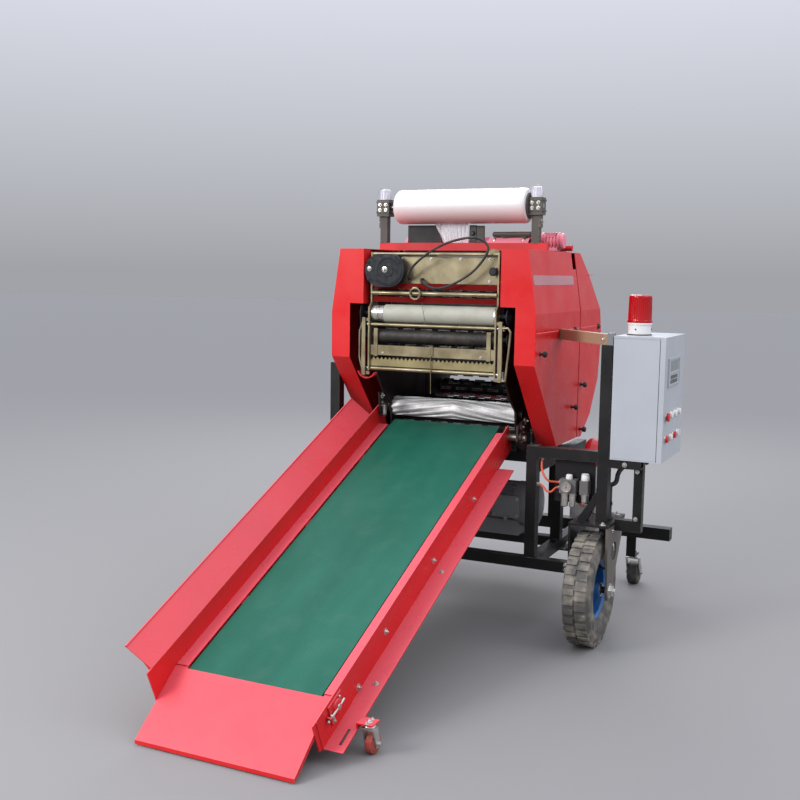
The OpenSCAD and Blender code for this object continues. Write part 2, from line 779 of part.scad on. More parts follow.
module drive_gearbox() {
    color([0.2, 0.22, 0.24]) {
        block([motor_x - gearbox_w, drive_y - gearbox_depth / 2, rail_z],
            [motor_x - seat_gap, drive_y + gearbox_depth / 2, rail_z + gearbox_h]);
        bar_x(20, chain_x - 6, motor_x - gearbox_w, drive_y, drive_z);
        chain_loop(chain_x, [drive_y, drive_z], chain_end);
        for (p = [[drive_y, drive_z], chain_end])
            bar_x(chain_r - 9, chain_x + 4, -side_out - 16 - seat_gap, p[0], p[1]);
    }
}

pump_x = 495;
pump_y = 450;
fin_z = 372;
fin_h = 120;
fin_step = 13;
tank_r = 55;
tank_len = 150;
tank_z = 632;

module air_compressor() {
    z = rail_z - tube + 6;
    head_z = fin_z + fin_h + 10;
    color(steel) {
        block([pump_x - 65, pump_y - 50, z], [pump_x + 65, pump_y + 50, z + 20]);
        block([pump_x - 45, pump_y - 30, z + 20], [pump_x + 45, pump_y + 30, fin_z]);
        for (y = [pump_y - 46:fin_step:pump_y + 32])
            block([pump_x - 55, y, fin_z], [pump_x + 55, y + 7, fin_z + fin_h]);
        block([pump_x - 35, pump_y - 42, fin_z], [pump_x + 35, pump_y + 42, head_z]);
        block([pump_x - 1, pump_y - 20, head_z], [pump_x + 35, pump_y + 20, tank_z - tank_r + 5]);
        bar_x(9, pump_x - 91, pump_x - 5, pump_y, tank_z - 50);
    }
    color(red) translate([pump_x - 5, pump_y, tank_z]) rotate([90, 0, 90]) rotate_extrude()
        polygon([[0, 0], [tank_r - 12, 0], [tank_r, 14], [tank_r, tank_len - 14], [tank_r - 12, tank_len],
            [0, tank_len]]);
}

unit_x = 470;
unit_w = 150;
filter_z = 540;
filter_top = 590;
filter_depth = 44;
bowl_r = 13;
knob_r = 14;
gauge_r = 18;

module air_unit() {
    back = post_y + rail_r - 6;
    front = back - filter_depth;
    middle = back - filter_depth / 2;
    color(grey) {
        block([unit_x, back, filter_z - 40], [unit_x + unit_w, back + 6, tie_z - rail_r]);
        block([unit_x + 30, front, filter_z], [unit_x + 90, back, filter_top]);
        block([unit_x + 105, front, filter_z], [unit_x + 135, back, filter_top]);
        for (bowl = [[45, 50], [75, 50], [120, 30]])
            translate([unit_x + bowl[0], middle, filter_z - bowl[1]]) cylinder(r = bowl_r, h = bowl[1]);
        translate([unit_x + 120, middle, filter_top]) cylinder(r = knob_r, h = 22);
        bar_y(gauge_r, front - 14, front, unit_x + 60, filter_z + 26);
    }
}

hose_r = 4;

module air_hoses() {
    color([0.85, 0.2, 0.1]) {
        swept_tube([[530, 107.8, 520], [530, 130, 521], [520, 190, 540], [505, 270, 500], [498, 340, 446],
            [496, 380, 432], [496, 403.7, 430]], hose_r);
        swept_tube([[409.3, 80, 560], [420, 80, 560], [434, 76, 552], [448, 70, 540], [466, 68, 538], [480, 74, 552],
            [490, 76, 556], [499.7, 76, 556]], hose_r);
        swept_tube([[424, 86, 659.7], [424, 86, 650], [428, 70, 625], [440, 58, 600], [458, 60, 580], [478, 78, 574],
            [490, 82, 574], [499.7, 82, 574]], hose_r);
    }
}

ramp_start = [592, deck_z];
ramp_end = [932, 503];

module discharge_ramp() {
    fall = (ramp_start[1] - ramp_end[1]) / (ramp_end[0] - ramp_start[0]);
    y0 = rear_tube_y - 20;
    y1 = rear_tube_y + 20;
    color(red) side_sheet(-side_x, chamber_w) polygon([[ramp_start[0] - 85, deck_z], ramp_start, ramp_end,
        [ramp_end[0], ramp_end[1] + 4], [ramp_start[0], deck_z + 4], [ramp_start[0] - 85, deck_z + 4]]);
    color(black) both_sides() {
        side_sheet(side_x - 30, 20) polygon([[y0, rail_z], [y1, rail_z],
            [y1, ramp_start[1] - fall * (y1 - ramp_start[0])], [y0, ramp_start[1] - fall * (y0 - ramp_start[0])]]);
    }
}

hitch_r = 11;

module tow_hitch() {
    y = rear_tube_y + rear_tube / 2;
    color(black) for (z = [rail_z - rear_tube + 2, rail_z - 12]) translate([0, 0, z]) linear_extrude(10)
        difference() {
            union() {
                translate([-30, y]) square([60, 50]);
                translate([0, y + 50]) circle(r = 30);
            }
            translate([0, y + 50]) circle(r = hitch_r);
        }
}

module rear_legs() {
    y = rear_tube_y + rear_tube / 2;
    color(black) both_sides() {
        block([rear_castor_x - 20, y, rear_castor_h], [rear_castor_x + 20, rear_castor_y + 20, rear_castor_h + 8]);
        block([rear_castor_x - 20, y, rear_castor_h + 8], [rear_castor_x + 20, y + 8, rail_z]);
        side_sheet(rear_castor_x - 4, 8) polygon([[y + 8, rear_castor_h + 8], [rear_castor_y + 20, rear_castor_h + 8],
            [y + 8, rail_z - 10]]);
    }
}

module tailgate_shell() {
    color([0.25, 0.06, 0.07]) {
        both_sides() {
            side_sheet(side_x, side_t) polygon(concat([[split_y + 5, 1400], [644, 1400]],
                [for (k = [1:6]) [cover_back[k][0] - sheet_t, cover_back[k][1]]], [[split_y + 5, cover_low_z]]));
            roller_marks(tail_angles) bearing(side_out);
            side_sheet(side_out + 28, 8) difference() {
                polygon([[hinge_y - 18, hinge_z + 18], [hinge_y + 24, hinge_z + 18], [cyl_eye[0] + 26, 1330],
                    [cyl_eye[0] + 22, cyl_eye[1] - 22], [cyl_eye[0] - 22, cyl_eye[1] - 22],
                    [split_y + 12, 1200], [split_y + 12, 1330], [hinge_y - 18, hinge_z - 18]]);
                translate([hinge_y, hinge_z]) circle(r = hinge_r + run_fit);
            }
            block([side_out, split_y + 12, 1200], [side_out + 28, split_y + 40, 1330]);
        }
        beam_x(-side_x, side_x, 640, 1372, 30);
    }
}

module tailgate_rollers() {
    color(grey) roller_marks(tail_angles) ribbed_roller(chamber_w);
}

module tailgate_covers() {
    color(red) {
        both_sides() cover_half(true);
        both_sides() intersection() {
            union() for (k = [0:5]) {
                p = cover_back[k];
                q = cover_back[k + 1];
                side_sheet(side_x, cover_out - side_x)
                    polygon([p, q, [q[0] - sheet_t, q[1]], [p[0] - sheet_t, p[1]]]);
            }
            translate([0, 1000, 0]) rotate([90, 0, 0]) linear_extrude(1000)
                polygon([[side_x, 0], [cover_out - 1, 0], [cover_out - 1, crease_z],
                    [cover_top_out - 1, cover_z], [side_x, cover_z]]);
        }
        both_sides() difference() {
            block([side_x, 592, cover_z - sheet_t], [cover_top_out, 644, cover_z]);
            block([side_out + 26, 590, cover_z - 10], [side_out + 38, 622, cover_z + 10]);
        }
    }
}

module barrel() {
    dir = cyl_eye - cyl_base;
    tilt = atan2(dir[1], dir[0]);
    color(steel) translate([cyl_x, cyl_base[0], cyl_base[1]]) rotate([tilt, 0, 0]) {
        difference() {
            union() {
                translate([-12, -14, -14]) cube([24, 60, 28]);
                translate([0, 46, 0]) rotate([-90, 0, 0]) cylinder(r = barrel_r, h = barrel_len - 46);
            }
            rotate([0, 90, 0]) cylinder(r = clevis_pin_r + run_fit, h = 60, center = true);
            translate([0, 70, 0]) rotate([-90, 0, 0]) cylinder(r = rod_r + run_fit, h = barrel_len);
        }
    }
}

module rod() {
    dir = cyl_eye - cyl_base;
    tilt = atan2(dir[1], dir[0]);
    color([0.85, 0.85, 0.86]) translate([cyl_x, cyl_base[0], cyl_base[1]]) rotate([tilt, 0, 0]) {
        translate([0, 80, 0]) rotate([-90, 0, 0]) cylinder(r = rod_r, h = norm(dir) - 80 - 10);
        translate([-12, norm(dir), 0]) rotate([0, 90, 0]) cylinder(r = 18, h = 24);
        translate([side_out + 36 + seat_gap - cyl_x, norm(dir), 0]) rotate([0, 90, 0])
            cylinder(r = clevis_pin_r, h = cyl_x - 12 - side_out - 36 - seat_gap);
    }
}

module barrel_right() {
    barrel();
}

module barrel_left() {
    mirror([1, 0, 0]) barrel();
}

module rod_right() {
    rod();
}

module rod_left() {
    mirror([1, 0, 0]) rod();
}

module side_rail(x, rise) {
    y0 = -belt_len - tail_over;
    difference() {
        union() {
            translate([x, y0, belt_top - rail_d]) cube([rail_t, head_over - y0, rail_d + rise]);
            translate([x + rail_t, y0, belt_top - rail_d])
                cube([flange_out - x - rail_t, -flange_stop - y0, rail_t]);
        }
        rotate([0, 90, 0]) cylinder(r = shaft_r + run_fit, h = flange_out);
        translate([0, -belt_len, 0]) rotate([0, 90, 0]) cylinder(r = shaft_r + run_fit, h = flange_out);
        translate([0, y0, belt_top - rail_d - 1]) rotate([-incline, 0, 0])
            translate([0, -100, -200]) cube([500, 400, 200 + tail_cut]);
        translate([flange_out - 26, -belt_len - 76, belt_top - rail_d - 1]) cube([9, 60, rail_t + 2]);
    }
    translate([ledge_x, -belt_len, belt_top]) cube([x - ledge_x, belt_len - 40, rail_t]);
}

module conveyor_frame() {
    color(red) on_conveyor() {
        side_rail(curb_x, rail_t);
        mirror([1, 0, 0]) side_rail(wall_x, wall_h);
        for (y = [-belt_len + 300, -belt_len / 2, -300])
            translate([-wall_x, y, -12]) cube([wall_x + curb_x, 40, drum_r - 3 + 12]);
        translate([-belt_w / 2, -belt_len + 60, drum_r - 3 - seat_gap]) cube([belt_w, belt_len - 120, 3]);
    }
    color(red) both_sides() {
        block([flange_out, castor_y - 24, castor_h - 14], [flange_out + 4, castor_y + 24, castor_h + 4]);
        block([flange_out, castor_y - 24, castor_h], [castor_x + 20, castor_y + 24, castor_h + 4]);
    }
}

module feed_boards() {
    color(red) on_conveyor() translate([0, -board_stop, 0]) rotate([90, 0, 0])
        linear_extrude(belt_len + tail_over - board_stop - 20) polygon([[-wall_x - rail_t, belt_top + wall_h],
            [-wall_x, belt_top + wall_h], [-wall_x - board_w, belt_top + wall_h + board_w],
            [-wall_x - board_w - rail_t, belt_top + wall_h + board_w]]);
}

module feed_belt() {
    color([0.02, 0.32, 0.2]) on_conveyor() translate([-belt_w / 2, 0, 0]) rotate([90, 0, 90]) linear_extrude(belt_w)
        difference() {
            union() {
                circle(r = drum_r + belt_t);
                translate([-belt_len, 0]) circle(r = drum_r + belt_t);
                translate([-belt_len, -drum_r - belt_t]) square([belt_len, drum_d + 2 * belt_t]);
            }
            circle(r = drum_r);
            translate([-belt_len, 0]) circle(r = drum_r);
            translate([-belt_len, -drum_r]) square([belt_len, drum_d]);
        }
}

head_half = bracket_x + side_t + 10;
tail_end = 6;

module conveyor_drums() {
    color(steel) on_conveyor() {
        for (y = [0, -belt_len]) bar_x(drum_r - seat_gap, -belt_w / 2, belt_w / 2, y, 0);
        bar_x(shaft_r, -head_half, head_half, 0, 0);
        bar_x(shaft_r, -wall_x - rail_t - tail_end, curb_x + rail_t + tail_end, -belt_len, 0);
    }
}

module apron_plate() {
    color(red) translate([0, apron_top[0], apron_top[1]]) rotate([apron_slope, 0, 0])
        translate([-wall_x, -apron_len, -3]) cube([wall_x + curb_x, apron_len, 3]);
}

module castor_fork(x, y, h, d, trail) {
    leg = d * 0.26;
    translate([x, y, 0]) color(steel) {
        translate([0, 0, h - 12]) cylinder(r = 15, h = 12 - seat_gap);
        difference() {
            union() {
                translate([-leg - 4, -14, h - 16]) cube([2 * leg + 8, 28, 4]);
                for (s = [-1, 1]) translate([s > 0 ? leg : -leg - 4, 0, 0]) rotate([90, 0, 90]) linear_extrude(4)
                    polygon([[-14, h - 12], [14, h - 12], [trail + 12, d / 2 - 10], [trail - 12, d / 2 - 10]]);
            }
        }
        translate([-leg - 6, trail, d / 2]) rotate([0, 90, 0]) cylinder(r = 5, h = 2 * leg + 12);
    }
}

module castor_wheel(x, y, d, trail) {
    half = d * 0.26 - 2;
    color(red) translate([x, y + trail, d / 2]) rotate([90, 0, 90]) rotate_extrude()
        polygon([[5 + run_fit, -half], [d / 2 - 8, -half], [d / 2 - 6, -half + 2], [d / 2, -half + 4],
            [d / 2, half - 4], [d / 2 - 6, half - 2], [d / 2 - 8, half], [5 + run_fit, half]]);
}

module castor_fork_fr() {
    castor_fork(castor_x, castor_y, castor_h, castor_d, castor_trail);
}

module castor_fork_fl() {
    castor_fork(-castor_x, castor_y, castor_h, castor_d, castor_trail);
}

module castor_wheel_fr() {
    castor_wheel(castor_x, castor_y, castor_d, castor_trail);
}

module castor_wheel_fl() {
    castor_wheel(-castor_x, castor_y, castor_d, castor_trail);
}

module castor_fork_rr() {
    castor_fork(rear_castor_x, rear_castor_y, rear_castor_h, rear_castor_d, rear_trail);
}

module castor_fork_rl() {
    castor_fork(-rear_castor_x, rear_castor_y, rear_castor_h, rear_castor_d, rear_trail);
}

module castor_wheel_rr() {
    castor_wheel(rear_castor_x, rear_castor_y, rear_castor_d, rear_trail);
}

module castor_wheel_rl() {
    castor_wheel(-rear_castor_x, rear_castor_y, rear_castor_d, rear_trail);
}

place() base_frame();
place() chamber_sides();
place() chamber_rollers();
place() infeed_roller();
place() cover_left();
place() cover_right();
place() top_hood();
place() binder_sides();
place() binder_bars();
place() binder_knife();
place() binder_guard();
place() binder_motor();
place() binder_cable();
place() press_roller();
place() film_roller();
place() roll_stand();
place() film_roll();
place() roll_spindle();
place() film_tray();
place() fork_left();
place() fork_right();
place() tyre_left();
place() tyre_right();
place() rim_left();
place() rim_right();
place() cabinet_stand();
place() cabinet_box();
place() cabinet_gear();
place() cabinet_door();
place() door_controls();
place() beacon_base();
place() beacon_lens();
place() drive_motor();
place() drive_gearbox();
place() air_compressor();
place() air_unit();
place() air_hoses();
place() discharge_ramp();
place() tow_hitch();
place() rear_legs();
place() tailgate_shell();
place() tailgate_rollers();
place() tailgate_covers();
place() barrel_left();
place() barrel_right();
place() rod_left();
place() rod_right();
place() conveyor_frame();
place() feed_boards();
place() feed_belt();
place() conveyor_drums();
place() apron_plate();
place() castor_fork_fl();
place() castor_fork_fr();
place() castor_wheel_fl();
place() castor_wheel_fr();
place() castor_fork_rl();
place() castor_fork_rr();
place() castor_wheel_rl();
place() castor_wheel_rr();
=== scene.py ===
import math

import bmesh
import bpy
from mathutils import Matrix, Vector


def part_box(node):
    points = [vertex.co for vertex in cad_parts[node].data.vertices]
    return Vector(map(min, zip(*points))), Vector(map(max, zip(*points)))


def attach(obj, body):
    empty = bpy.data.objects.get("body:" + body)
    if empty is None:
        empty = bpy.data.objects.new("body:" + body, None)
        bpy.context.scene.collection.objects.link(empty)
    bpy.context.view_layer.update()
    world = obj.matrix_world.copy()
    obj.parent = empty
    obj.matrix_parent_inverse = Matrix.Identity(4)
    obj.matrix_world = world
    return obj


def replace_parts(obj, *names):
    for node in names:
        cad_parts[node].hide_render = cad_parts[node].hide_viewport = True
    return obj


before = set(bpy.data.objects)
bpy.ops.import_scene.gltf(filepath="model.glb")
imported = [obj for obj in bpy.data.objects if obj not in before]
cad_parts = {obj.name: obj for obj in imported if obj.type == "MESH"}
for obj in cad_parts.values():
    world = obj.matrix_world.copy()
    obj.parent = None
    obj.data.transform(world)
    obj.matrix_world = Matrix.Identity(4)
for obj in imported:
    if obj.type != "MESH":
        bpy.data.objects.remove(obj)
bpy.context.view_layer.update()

# Camera: it stands to the right of the feed conveyor and a little above the covers' fold.
# The machine's places are given in millimetres from the chamber's middle plane, the covers'
# front face and the floor.
middle_x = (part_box("cover_left")[0][0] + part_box("cover_right")[1][0]) / 2
front_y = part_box("cover_right")[0][1]


def at(x, y, z):
    return Vector((middle_x + x / 1000, front_y + y / 1000, z / 1000))


camera_place = at(1634, -3663, 1322)
camera_yaw = math.radians(25.54)
camera_pitch = math.radians(6.71)
camera_roll = math.radians(0.82)
photo_width = 800
focal_pixels = 1079.9
ahead = Vector((
    -math.sin(camera_yaw) * math.cos(camera_pitch),
    math.cos(camera_yaw) * math.cos(camera_pitch),
    -math.sin(camera_pitch),
))
level = Vector((math.cos(camera_yaw), math.sin(camera_yaw), 0))
upward = level.cross(ahead)
rightward = math.cos(camera_roll) * level + math.sin(camera_roll) * upward
upward = rightward.cross(ahead)
camera = bpy.data.objects.new("camera", bpy.data.cameras.new("camera"))
bpy.context.scene.collection.objects.link(camera)
camera.matrix_world = Matrix((
    (rightward.x, upward.x, -ahead.x, camera_place.x),
    (rightward.y, upward.y, -ahead.y, camera_place.y),
    (rightward.z, upward.z, -ahead.z, camera_place.z),
    (0, 0, 0, 1),
))
camera.data.sensor_width = 36
camera.data.lens = focal_pixels / photo_width * camera.data.sensor_width
camera.data.clip_end = 60
bpy.context.scene.camera = camera

# Binder cable: a black rubber-sheathed lead, 9 mm thick, that arches in front of the binder's
# panel. Both of its ends go into the panel.


def add_node(tree, kind, inputs=None, **options):
    made = tree.nodes.new("ShaderNode" + kind)
    for option, value in options.items():
        setattr(made, option, value)
    for socket, value in (inputs or {}).items():
        if isinstance(value, bpy.types.NodeSocket):
            tree.links.new(value, made.inputs[socket])
        else:
            made.inputs[socket].default_value = value
    return made


def mixed(tree, factor, first, second):
    made = add_node(tree, "Mix", {0: factor, 6: first, 7: second}, data_type="RGBA")
    return made.outputs[2]


def mapped(tree, value, low, high, new_low=0.0, new_high=1.0):
    limits = {"Value": value, "From Min": low, "From Max": high, "To Min": new_low, "To Max": new_high}
    return add_node(tree, "MapRange", limits).outputs[0]


def speckle(tree, place, scale, detail=4.0):
    return add_node(tree, "TexNoise", {"Vector": place, "Scale": scale, "Detail": detail}).outputs["Fac"]


def new_finish(name):
    finish = bpy.data.materials.new(name)
    finish.use_nodes = True
    tree = finish.node_tree
    place = add_node(tree, "TexCoord").outputs["Object"]
    return finish, tree, tree.nodes["Principled BSDF"], place


def wire(tree, shader, colour, roughness, height, strength, distance):
    bump = add_node(tree, "Bump", {"Height": height, "Strength": strength, "Distance": distance})
    tree.links.new(colour, shader.inputs["Base Color"])
    tree.links.new(roughness, shader.inputs["Roughness"])
    tree.links.new(bump.outputs["Normal"], shader.inputs["Normal"])


def rubber(name, colour, dust_colour, dust, grain=900, roughness=0.5):
    finish, tree, shader, place = new_finish(name)
    dusty = mapped(tree, speckle(tree, place, 22, 6), 0.42, 0.75, 0, dust)
    base = mixed(tree, dusty, (*colour, 1), (*dust_colour, 1))
    rough = mapped(tree, speckle(tree, place, 60), 0.3, 0.7, roughness, roughness + 0.25)
    wire(tree, shader, base, rough, speckle(tree, place, grain, 2), 0.25, 0.0006)
    return finish


def smooth_line(points, steps=8):
    line = []
    for k in range(len(points) - 1):
        before = points[max(k - 1, 0)]
        start = points[k]
        end = points[k + 1]
        after = points[min(k + 2, len(points) - 1)]
        for s in range(steps):
            t = s / steps
            line.append(0.5 * (2 * start + (end - before) * t
                               + (2 * before - 5 * start + 4 * end - after) * t ** 2
                               + (3 * start - before - 3 * end + after) * t ** 3))
    line.append(points[-1])
    return line


def lead(name, points, radius, finish, body):
    curve = bpy.data.curves.new(name, "CURVE")
    curve.dimensions = "3D"
    spline = curve.splines.new("POLY")
    spline.points.add(len(points) - 1)
    for k, point in enumerate(points):
        spline.points[k].co = (*point, 1)
    curve.bevel_depth = radius
    curve.bevel_resolution = 3
    curve.use_fill_caps = True
    curve.materials.append(finish)
    piece = bpy.data.objects.new(name, curve)
    bpy.context.scene.collection.objects.link(piece)
    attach(piece, body)
    return piece


cable_sheath = rubber("cable_sheath", (0.012, 0.012, 0.013), (0.12, 0.10, 0.08), 0.35)
cable_route = [(-105, 49.7, 1300), (-105, 40, 1300), (-100, 20, 1312), (-85, 8, 1334), (-40, -6, 1372),
               (25, -16, 1412), (95, -14, 1440), (165, -6, 1452), (205, 4, 1440), (222, 10, 1415),
               (205, 10, 1375), (165, 8, 1330), (105, 8, 1292), (55, 10, 1272), (10, 8, 1268),
               (-30, 12, 1284), (-50, 30, 1298), (-52, 40, 1300), (-52, 49.7, 1300)]
cable_line = smooth_line([at(*point) for point in cable_route])
binder_cable = lead("binder_cable_sheath", cable_line, 0.0045, cable_sheath, "machine")
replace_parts(binder_cable, "binder_cable")

# Air hoses: three orange-red polyurethane tubes, 8 mm thick, pushed into fittings on the frame,
# on the air unit under the tie beam and on the compressor.
hose_skin = rubber("hose_skin", (0.62, 0.07, 0.025), (0.30, 0.22, 0.15), 0.4, 300)
hose_routes = {
    "compressor_hose": [(530, 107.8, 520), (530, 130, 521), (520, 190, 540), (505, 270, 500),
                        (498, 340, 446), (496, 380, 432), (496, 403.7, 430)],
    "post_hose": [(409.3, 80, 560), (420, 80, 560), (434, 76, 552), (448, 70, 540), (466, 68, 538),
                  (480, 74, 552), (490, 76, 556), (499.7, 76, 556)],
    "beam_hose": [(424, 86, 659.7), (424, 86, 650), (428, 70, 625), (440, 58, 600), (458, 60, 580),
                  (478, 78, 574), (490, 82, 574), (499.7, 82, 574)],
}
for hose_name, route in hose_routes.items():
    hose_line = smooth_line([at(*point) for point in route])
    hose = lead(hose_name, hose_line, 0.004, hose_skin, "machine")
    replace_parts(hose, "air_hoses")

# Studio: a grey floor that the wheels stand on and a sky that is brighter overhead. One broad
# light stands high at the front left, weaker ones at the cabinet's side and behind.
floor_half = 40
floor_corners = [(x * floor_half, y * floor_half, 0) for x, y in ((-1, -1), (1, -1), (1, 1), (-1, 1))]
floor_mesh = bpy.data.meshes.new("studio_floor")
floor_mesh.from_pydata(floor_corners, [], [(0, 1, 2, 3)])
floor_finish, _, floor_shader, _ = new_finish("studio_floor")
floor_shader.inputs["Base Color"].default_value = (0.22, 0.214, 0.208, 1)
floor_shader.inputs["Roughness"].default_value = 0.8
floor_mesh.materials.append(floor_finish)
studio_floor = bpy.data.objects.new("studio_floor", floor_mesh)
bpy.context.scene.collection.objects.link(studio_floor)

sky = bpy.data.worlds.new("studio_sky")
sky.use_nodes = True
sky_tree = sky.node_tree
sky_way = add_node(sky_tree, "TexCoord").outputs["Generated"]
sky_height = add_node(sky_tree, "SeparateXYZ", {0: sky_way}).outputs[2]
sky_rise = mapped(sky_tree, sky_height, 0.0, 0.9)
sky_colour = mixed(sky_tree, sky_rise, (0.36, 0.365, 0.39, 1), (1.65, 1.72, 1.95, 1))
sky_tree.links.new(sky_colour, sky_tree.nodes["Background"].inputs["Color"])
bpy.context.scene.world = sky
bpy.context.scene.view_settings.view_transform = "Standard"
for lamp_name, lamp_place, lamp_size, lamp_power in (
        ("front_light", (-2.8, -4.4, 3.3), 2.0, 240),
        ("side_light", (4.2, -0.6, 3.4), 2.5, 40),
        ("back_light", (-1.5, 4.5, 3.8), 2.5, 90)):
    lamp = bpy.data.lights.new(lamp_name, "AREA")
    lamp.size = lamp_size
    lamp.energy = lamp_power
    holder = bpy.data.objects.new(lamp_name, lamp)
    holder.location = lamp_place
    holder.rotation_euler = (Vector((0, 0, 0.7)) - Vector(lamp_place)).to_track_quat("-Z", "Y").to_euler()
    bpy.context.scene.collection.objects.link(holder)

# Base frame: square steel tube, welded and enamelled black, dusty on its upper faces. The forks,
# the stand, the hitch and the rear castors' legs are finished the same way. Plastic caps close
# the open tube ends, and weld beads run where one tube meets another.


def joined(tree, operation, first, second):
    return add_node(tree, "Math", {0: first, 1: second}, operation=operation).outputs[0]


def edge_mask(tree, radius, low=0.99, high=0.86):
    rounded = add_node(tree, "Bevel", {"Radius": radius}, samples=4).outputs[0]
    flat = add_node(tree, "NewGeometry").outputs["Normal"]
    match = add_node(tree, "VectorMath", {0: rounded, 1: flat}, operation="DOT_PRODUCT").outputs["Value"]
    return mapped(tree, match, low, high)


def facing_up(tree):
    flat = add_node(tree, "NewGeometry").outputs["Normal"]
    return add_node(tree, "SeparateXYZ", {0: flat}).outputs[2]


def enamel(name, colour, shade, worn, dust_colour, dust, roughness, wear=0.6, lacquer=0.0, painted_sky_sheen=0.0):
    finish, tree, shader, place = new_finish(name)
    cloud = mapped(tree, speckle(tree, place, 3.5, 5), 0.35, 0.7)
    base = mixed(tree, cloud, (*colour, 1), (*shade, 1))
    # Upward faces are blended towards pale lilac by the last argument's share: a painted sheen of the
    # bright sky reflected in the paint.
    base = mixed(tree, mapped(tree, facing_up(tree), 0.05, 0.9, 0, painted_sky_sheen), base, (0.80, 0.74, 0.95, 1))
    settled = mapped(tree, facing_up(tree), 0.2, 0.95, 0.25, 1.0)
    dusty = joined(tree, "MULTIPLY", mapped(tree, speckle(tree, place, 16, 8), 0.45, 0.8, 0, dust), settled)
    base = mixed(tree, dusty, base, (*dust_colour, 1))
    chips = mapped(tree, speckle(tree, place, 85, 6), 0.46, 0.6, 0, wear)
    rubbed = joined(tree, "MULTIPLY", edge_mask(tree, 0.0025), chips)
    base = mixed(tree, rubbed, base, (*worn, 1))
    rough = mapped(tree, speckle(tree, place, 9, 5), 0.3, 0.7, roughness - 0.06, roughness + 0.14)
    ripple = joined(tree, "ADD", speckle(tree, place, 420, 2), speckle(tree, place, 14, 2))
    wire(tree, shader, base, rough, ripple, 0.06, 0.0008)
    shader.inputs["Specular IOR Level"].default_value = 0.32
    shader.inputs["Coat Weight"].default_value = lacquer
    shader.inputs["Coat Roughness"].default_value = 0.12
    return finish


def coat(names, finish):
    for name in names:
        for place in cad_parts[name].material_slots:
            place.material = finish


# The bench holds the mesh of the piece that is being made, until done() takes it off.
bench = bmesh.new()
forward = (0, -1, 0)
up = (0, 0, 1)


def skin(rings, ends=True):
    for below, above in zip(rings, rings[1:]):
        for k in range(len(below)):
            after = (k + 1) % len(below)
            bench.faces.new((below[k], below[after], above[after], above[k]))
    if ends:
        bench.faces.new(rings[0][::-1])
        bench.faces.new(rings[-1])


def add_plate(outline, thickness):
    near = [bench.verts.new(at(*point)) for point in outline]
    far = [bench.verts.new(at(*(Vector(point) + Vector(thickness)))) for point in outline]
    skin([near, far])


def end_face(low, high):
    corners = ((low[1], low[2]), (high[1], low[2]), (high[1], high[2]), (low[1], high[2]))
    return [(low[0], y, z) for y, z in corners]


def add_block(low, high):
    add_plate(end_face(low, high), (high[0] - low[0], 0, 0))


def spokes(along, sides):
    axis = Vector(along).normalized()
    across = axis.orthogonal().normalized()
    turns = [2 * math.pi * k / sides for k in range(sides)]
    return axis, [math.cos(turn) * across + math.sin(turn) * axis.cross(across) for turn in turns]


def add_turned(start, along, profile, sides=28):
    axis, outs = spokes(along, sides)
    rings = []
    for distance, radius in profile:
        middle = Vector(start) + axis * distance
        rings.append([bench.verts.new(at(*(middle + radius * out))) for out in outs])
    skin(rings)


def add_bolt(seat, along, size=6.0, washer=True):
    along = Vector(along).normalized()
    start = Vector(seat)
    if washer:
        add_turned(start, along, [(-1, size * 1.75), (0.9, size * 1.75), (1.4, size * 1.6)], 20)
        start = start + along * 1.4
    add_turned(start, along, [(-1, size), (size * 0.62, size), (size * 0.75, size * 0.86)], 6)
    add_turned(start + along * size * 0.75, along,
               [(-0.5, size * 0.5), (size * 0.5, size * 0.5), (size * 0.6, size * 0.4)], 12)


def add_weld(start, end, radius=2.6, step=4.0):
    run = Vector(end) - Vector(start)
    count = max(2, int(run.length / step))
    profile = [(0, 0.3)]
    for k in range(count):
        profile.append(((k + 0.35) * run.length / count, radius))
        profile.append(((k + 0.95) * run.length / count, radius * 0.72))
    add_turned(start, run, profile, 8)


def done(name, finish, body, edge=0.7):
    bmesh.ops.recalc_face_normals(bench, faces=bench.faces)
    shape = bpy.data.meshes.new(name)
    bench.to_mesh(shape)
    bench.clear()
    shape.shade_smooth()
    shape.set_sharp_from_angle(angle=math.radians(34))
    shape.materials.append(finish)
    piece = bpy.data.objects.new(name, shape)
    bpy.context.scene.collection.objects.link(piece)
    if edge:
        soften = piece.modifiers.new("soft_edges", "BEVEL")
        soften.width = edge / 1000
        soften.segments = 2
        soften.limit_method = "ANGLE"
        soften.angle_limit = math.radians(38)
        soften.harden_normals = True
    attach(piece, body)
    return piece


black_paint = ((0.0042, 0.00434, 0.00462), (0.007, 0.00714, 0.00742), (0.20, 0.19, 0.18))
yard_dust = (0.12, 0.10, 0.075)
frame_black = enamel("frame_black", *black_paint, yard_dust, 0.25, 0.38, 0.5)
coat(["base_frame", "tow_hitch", "rear_legs"], frame_black)


def object_place(finish):
    return finish.node_tree.nodes["Texture Coordinate"].outputs["Object"]


def tint(finish, share, colour):
    tree = finish.node_tree
    socket = tree.nodes["Principled BSDF"].inputs["Base Color"]
    tree.links.new(mixed(tree, share, socket.links[0].from_socket, (*colour, 1)), socket)


def in_parts(name, paint, parts, roughness):
    finish = enamel(name, *paint, yard_dust, 0.25, roughness, 0.5)
    tree = finish.node_tree
    axes = add_node(tree, "SeparateXYZ", {0: object_place(finish)}).outputs
    for low, high, part_colour in parts:
        inside = 1.0
        for axis in range(3):
            for test, limit in (("GREATER_THAN", low), ("LESS_THAN", high)):
                inside = joined(tree, "MULTIPLY", inside, joined(tree, test, axes[axis], limit[axis]))
        tint(finish, inside, part_colour)
    return finish


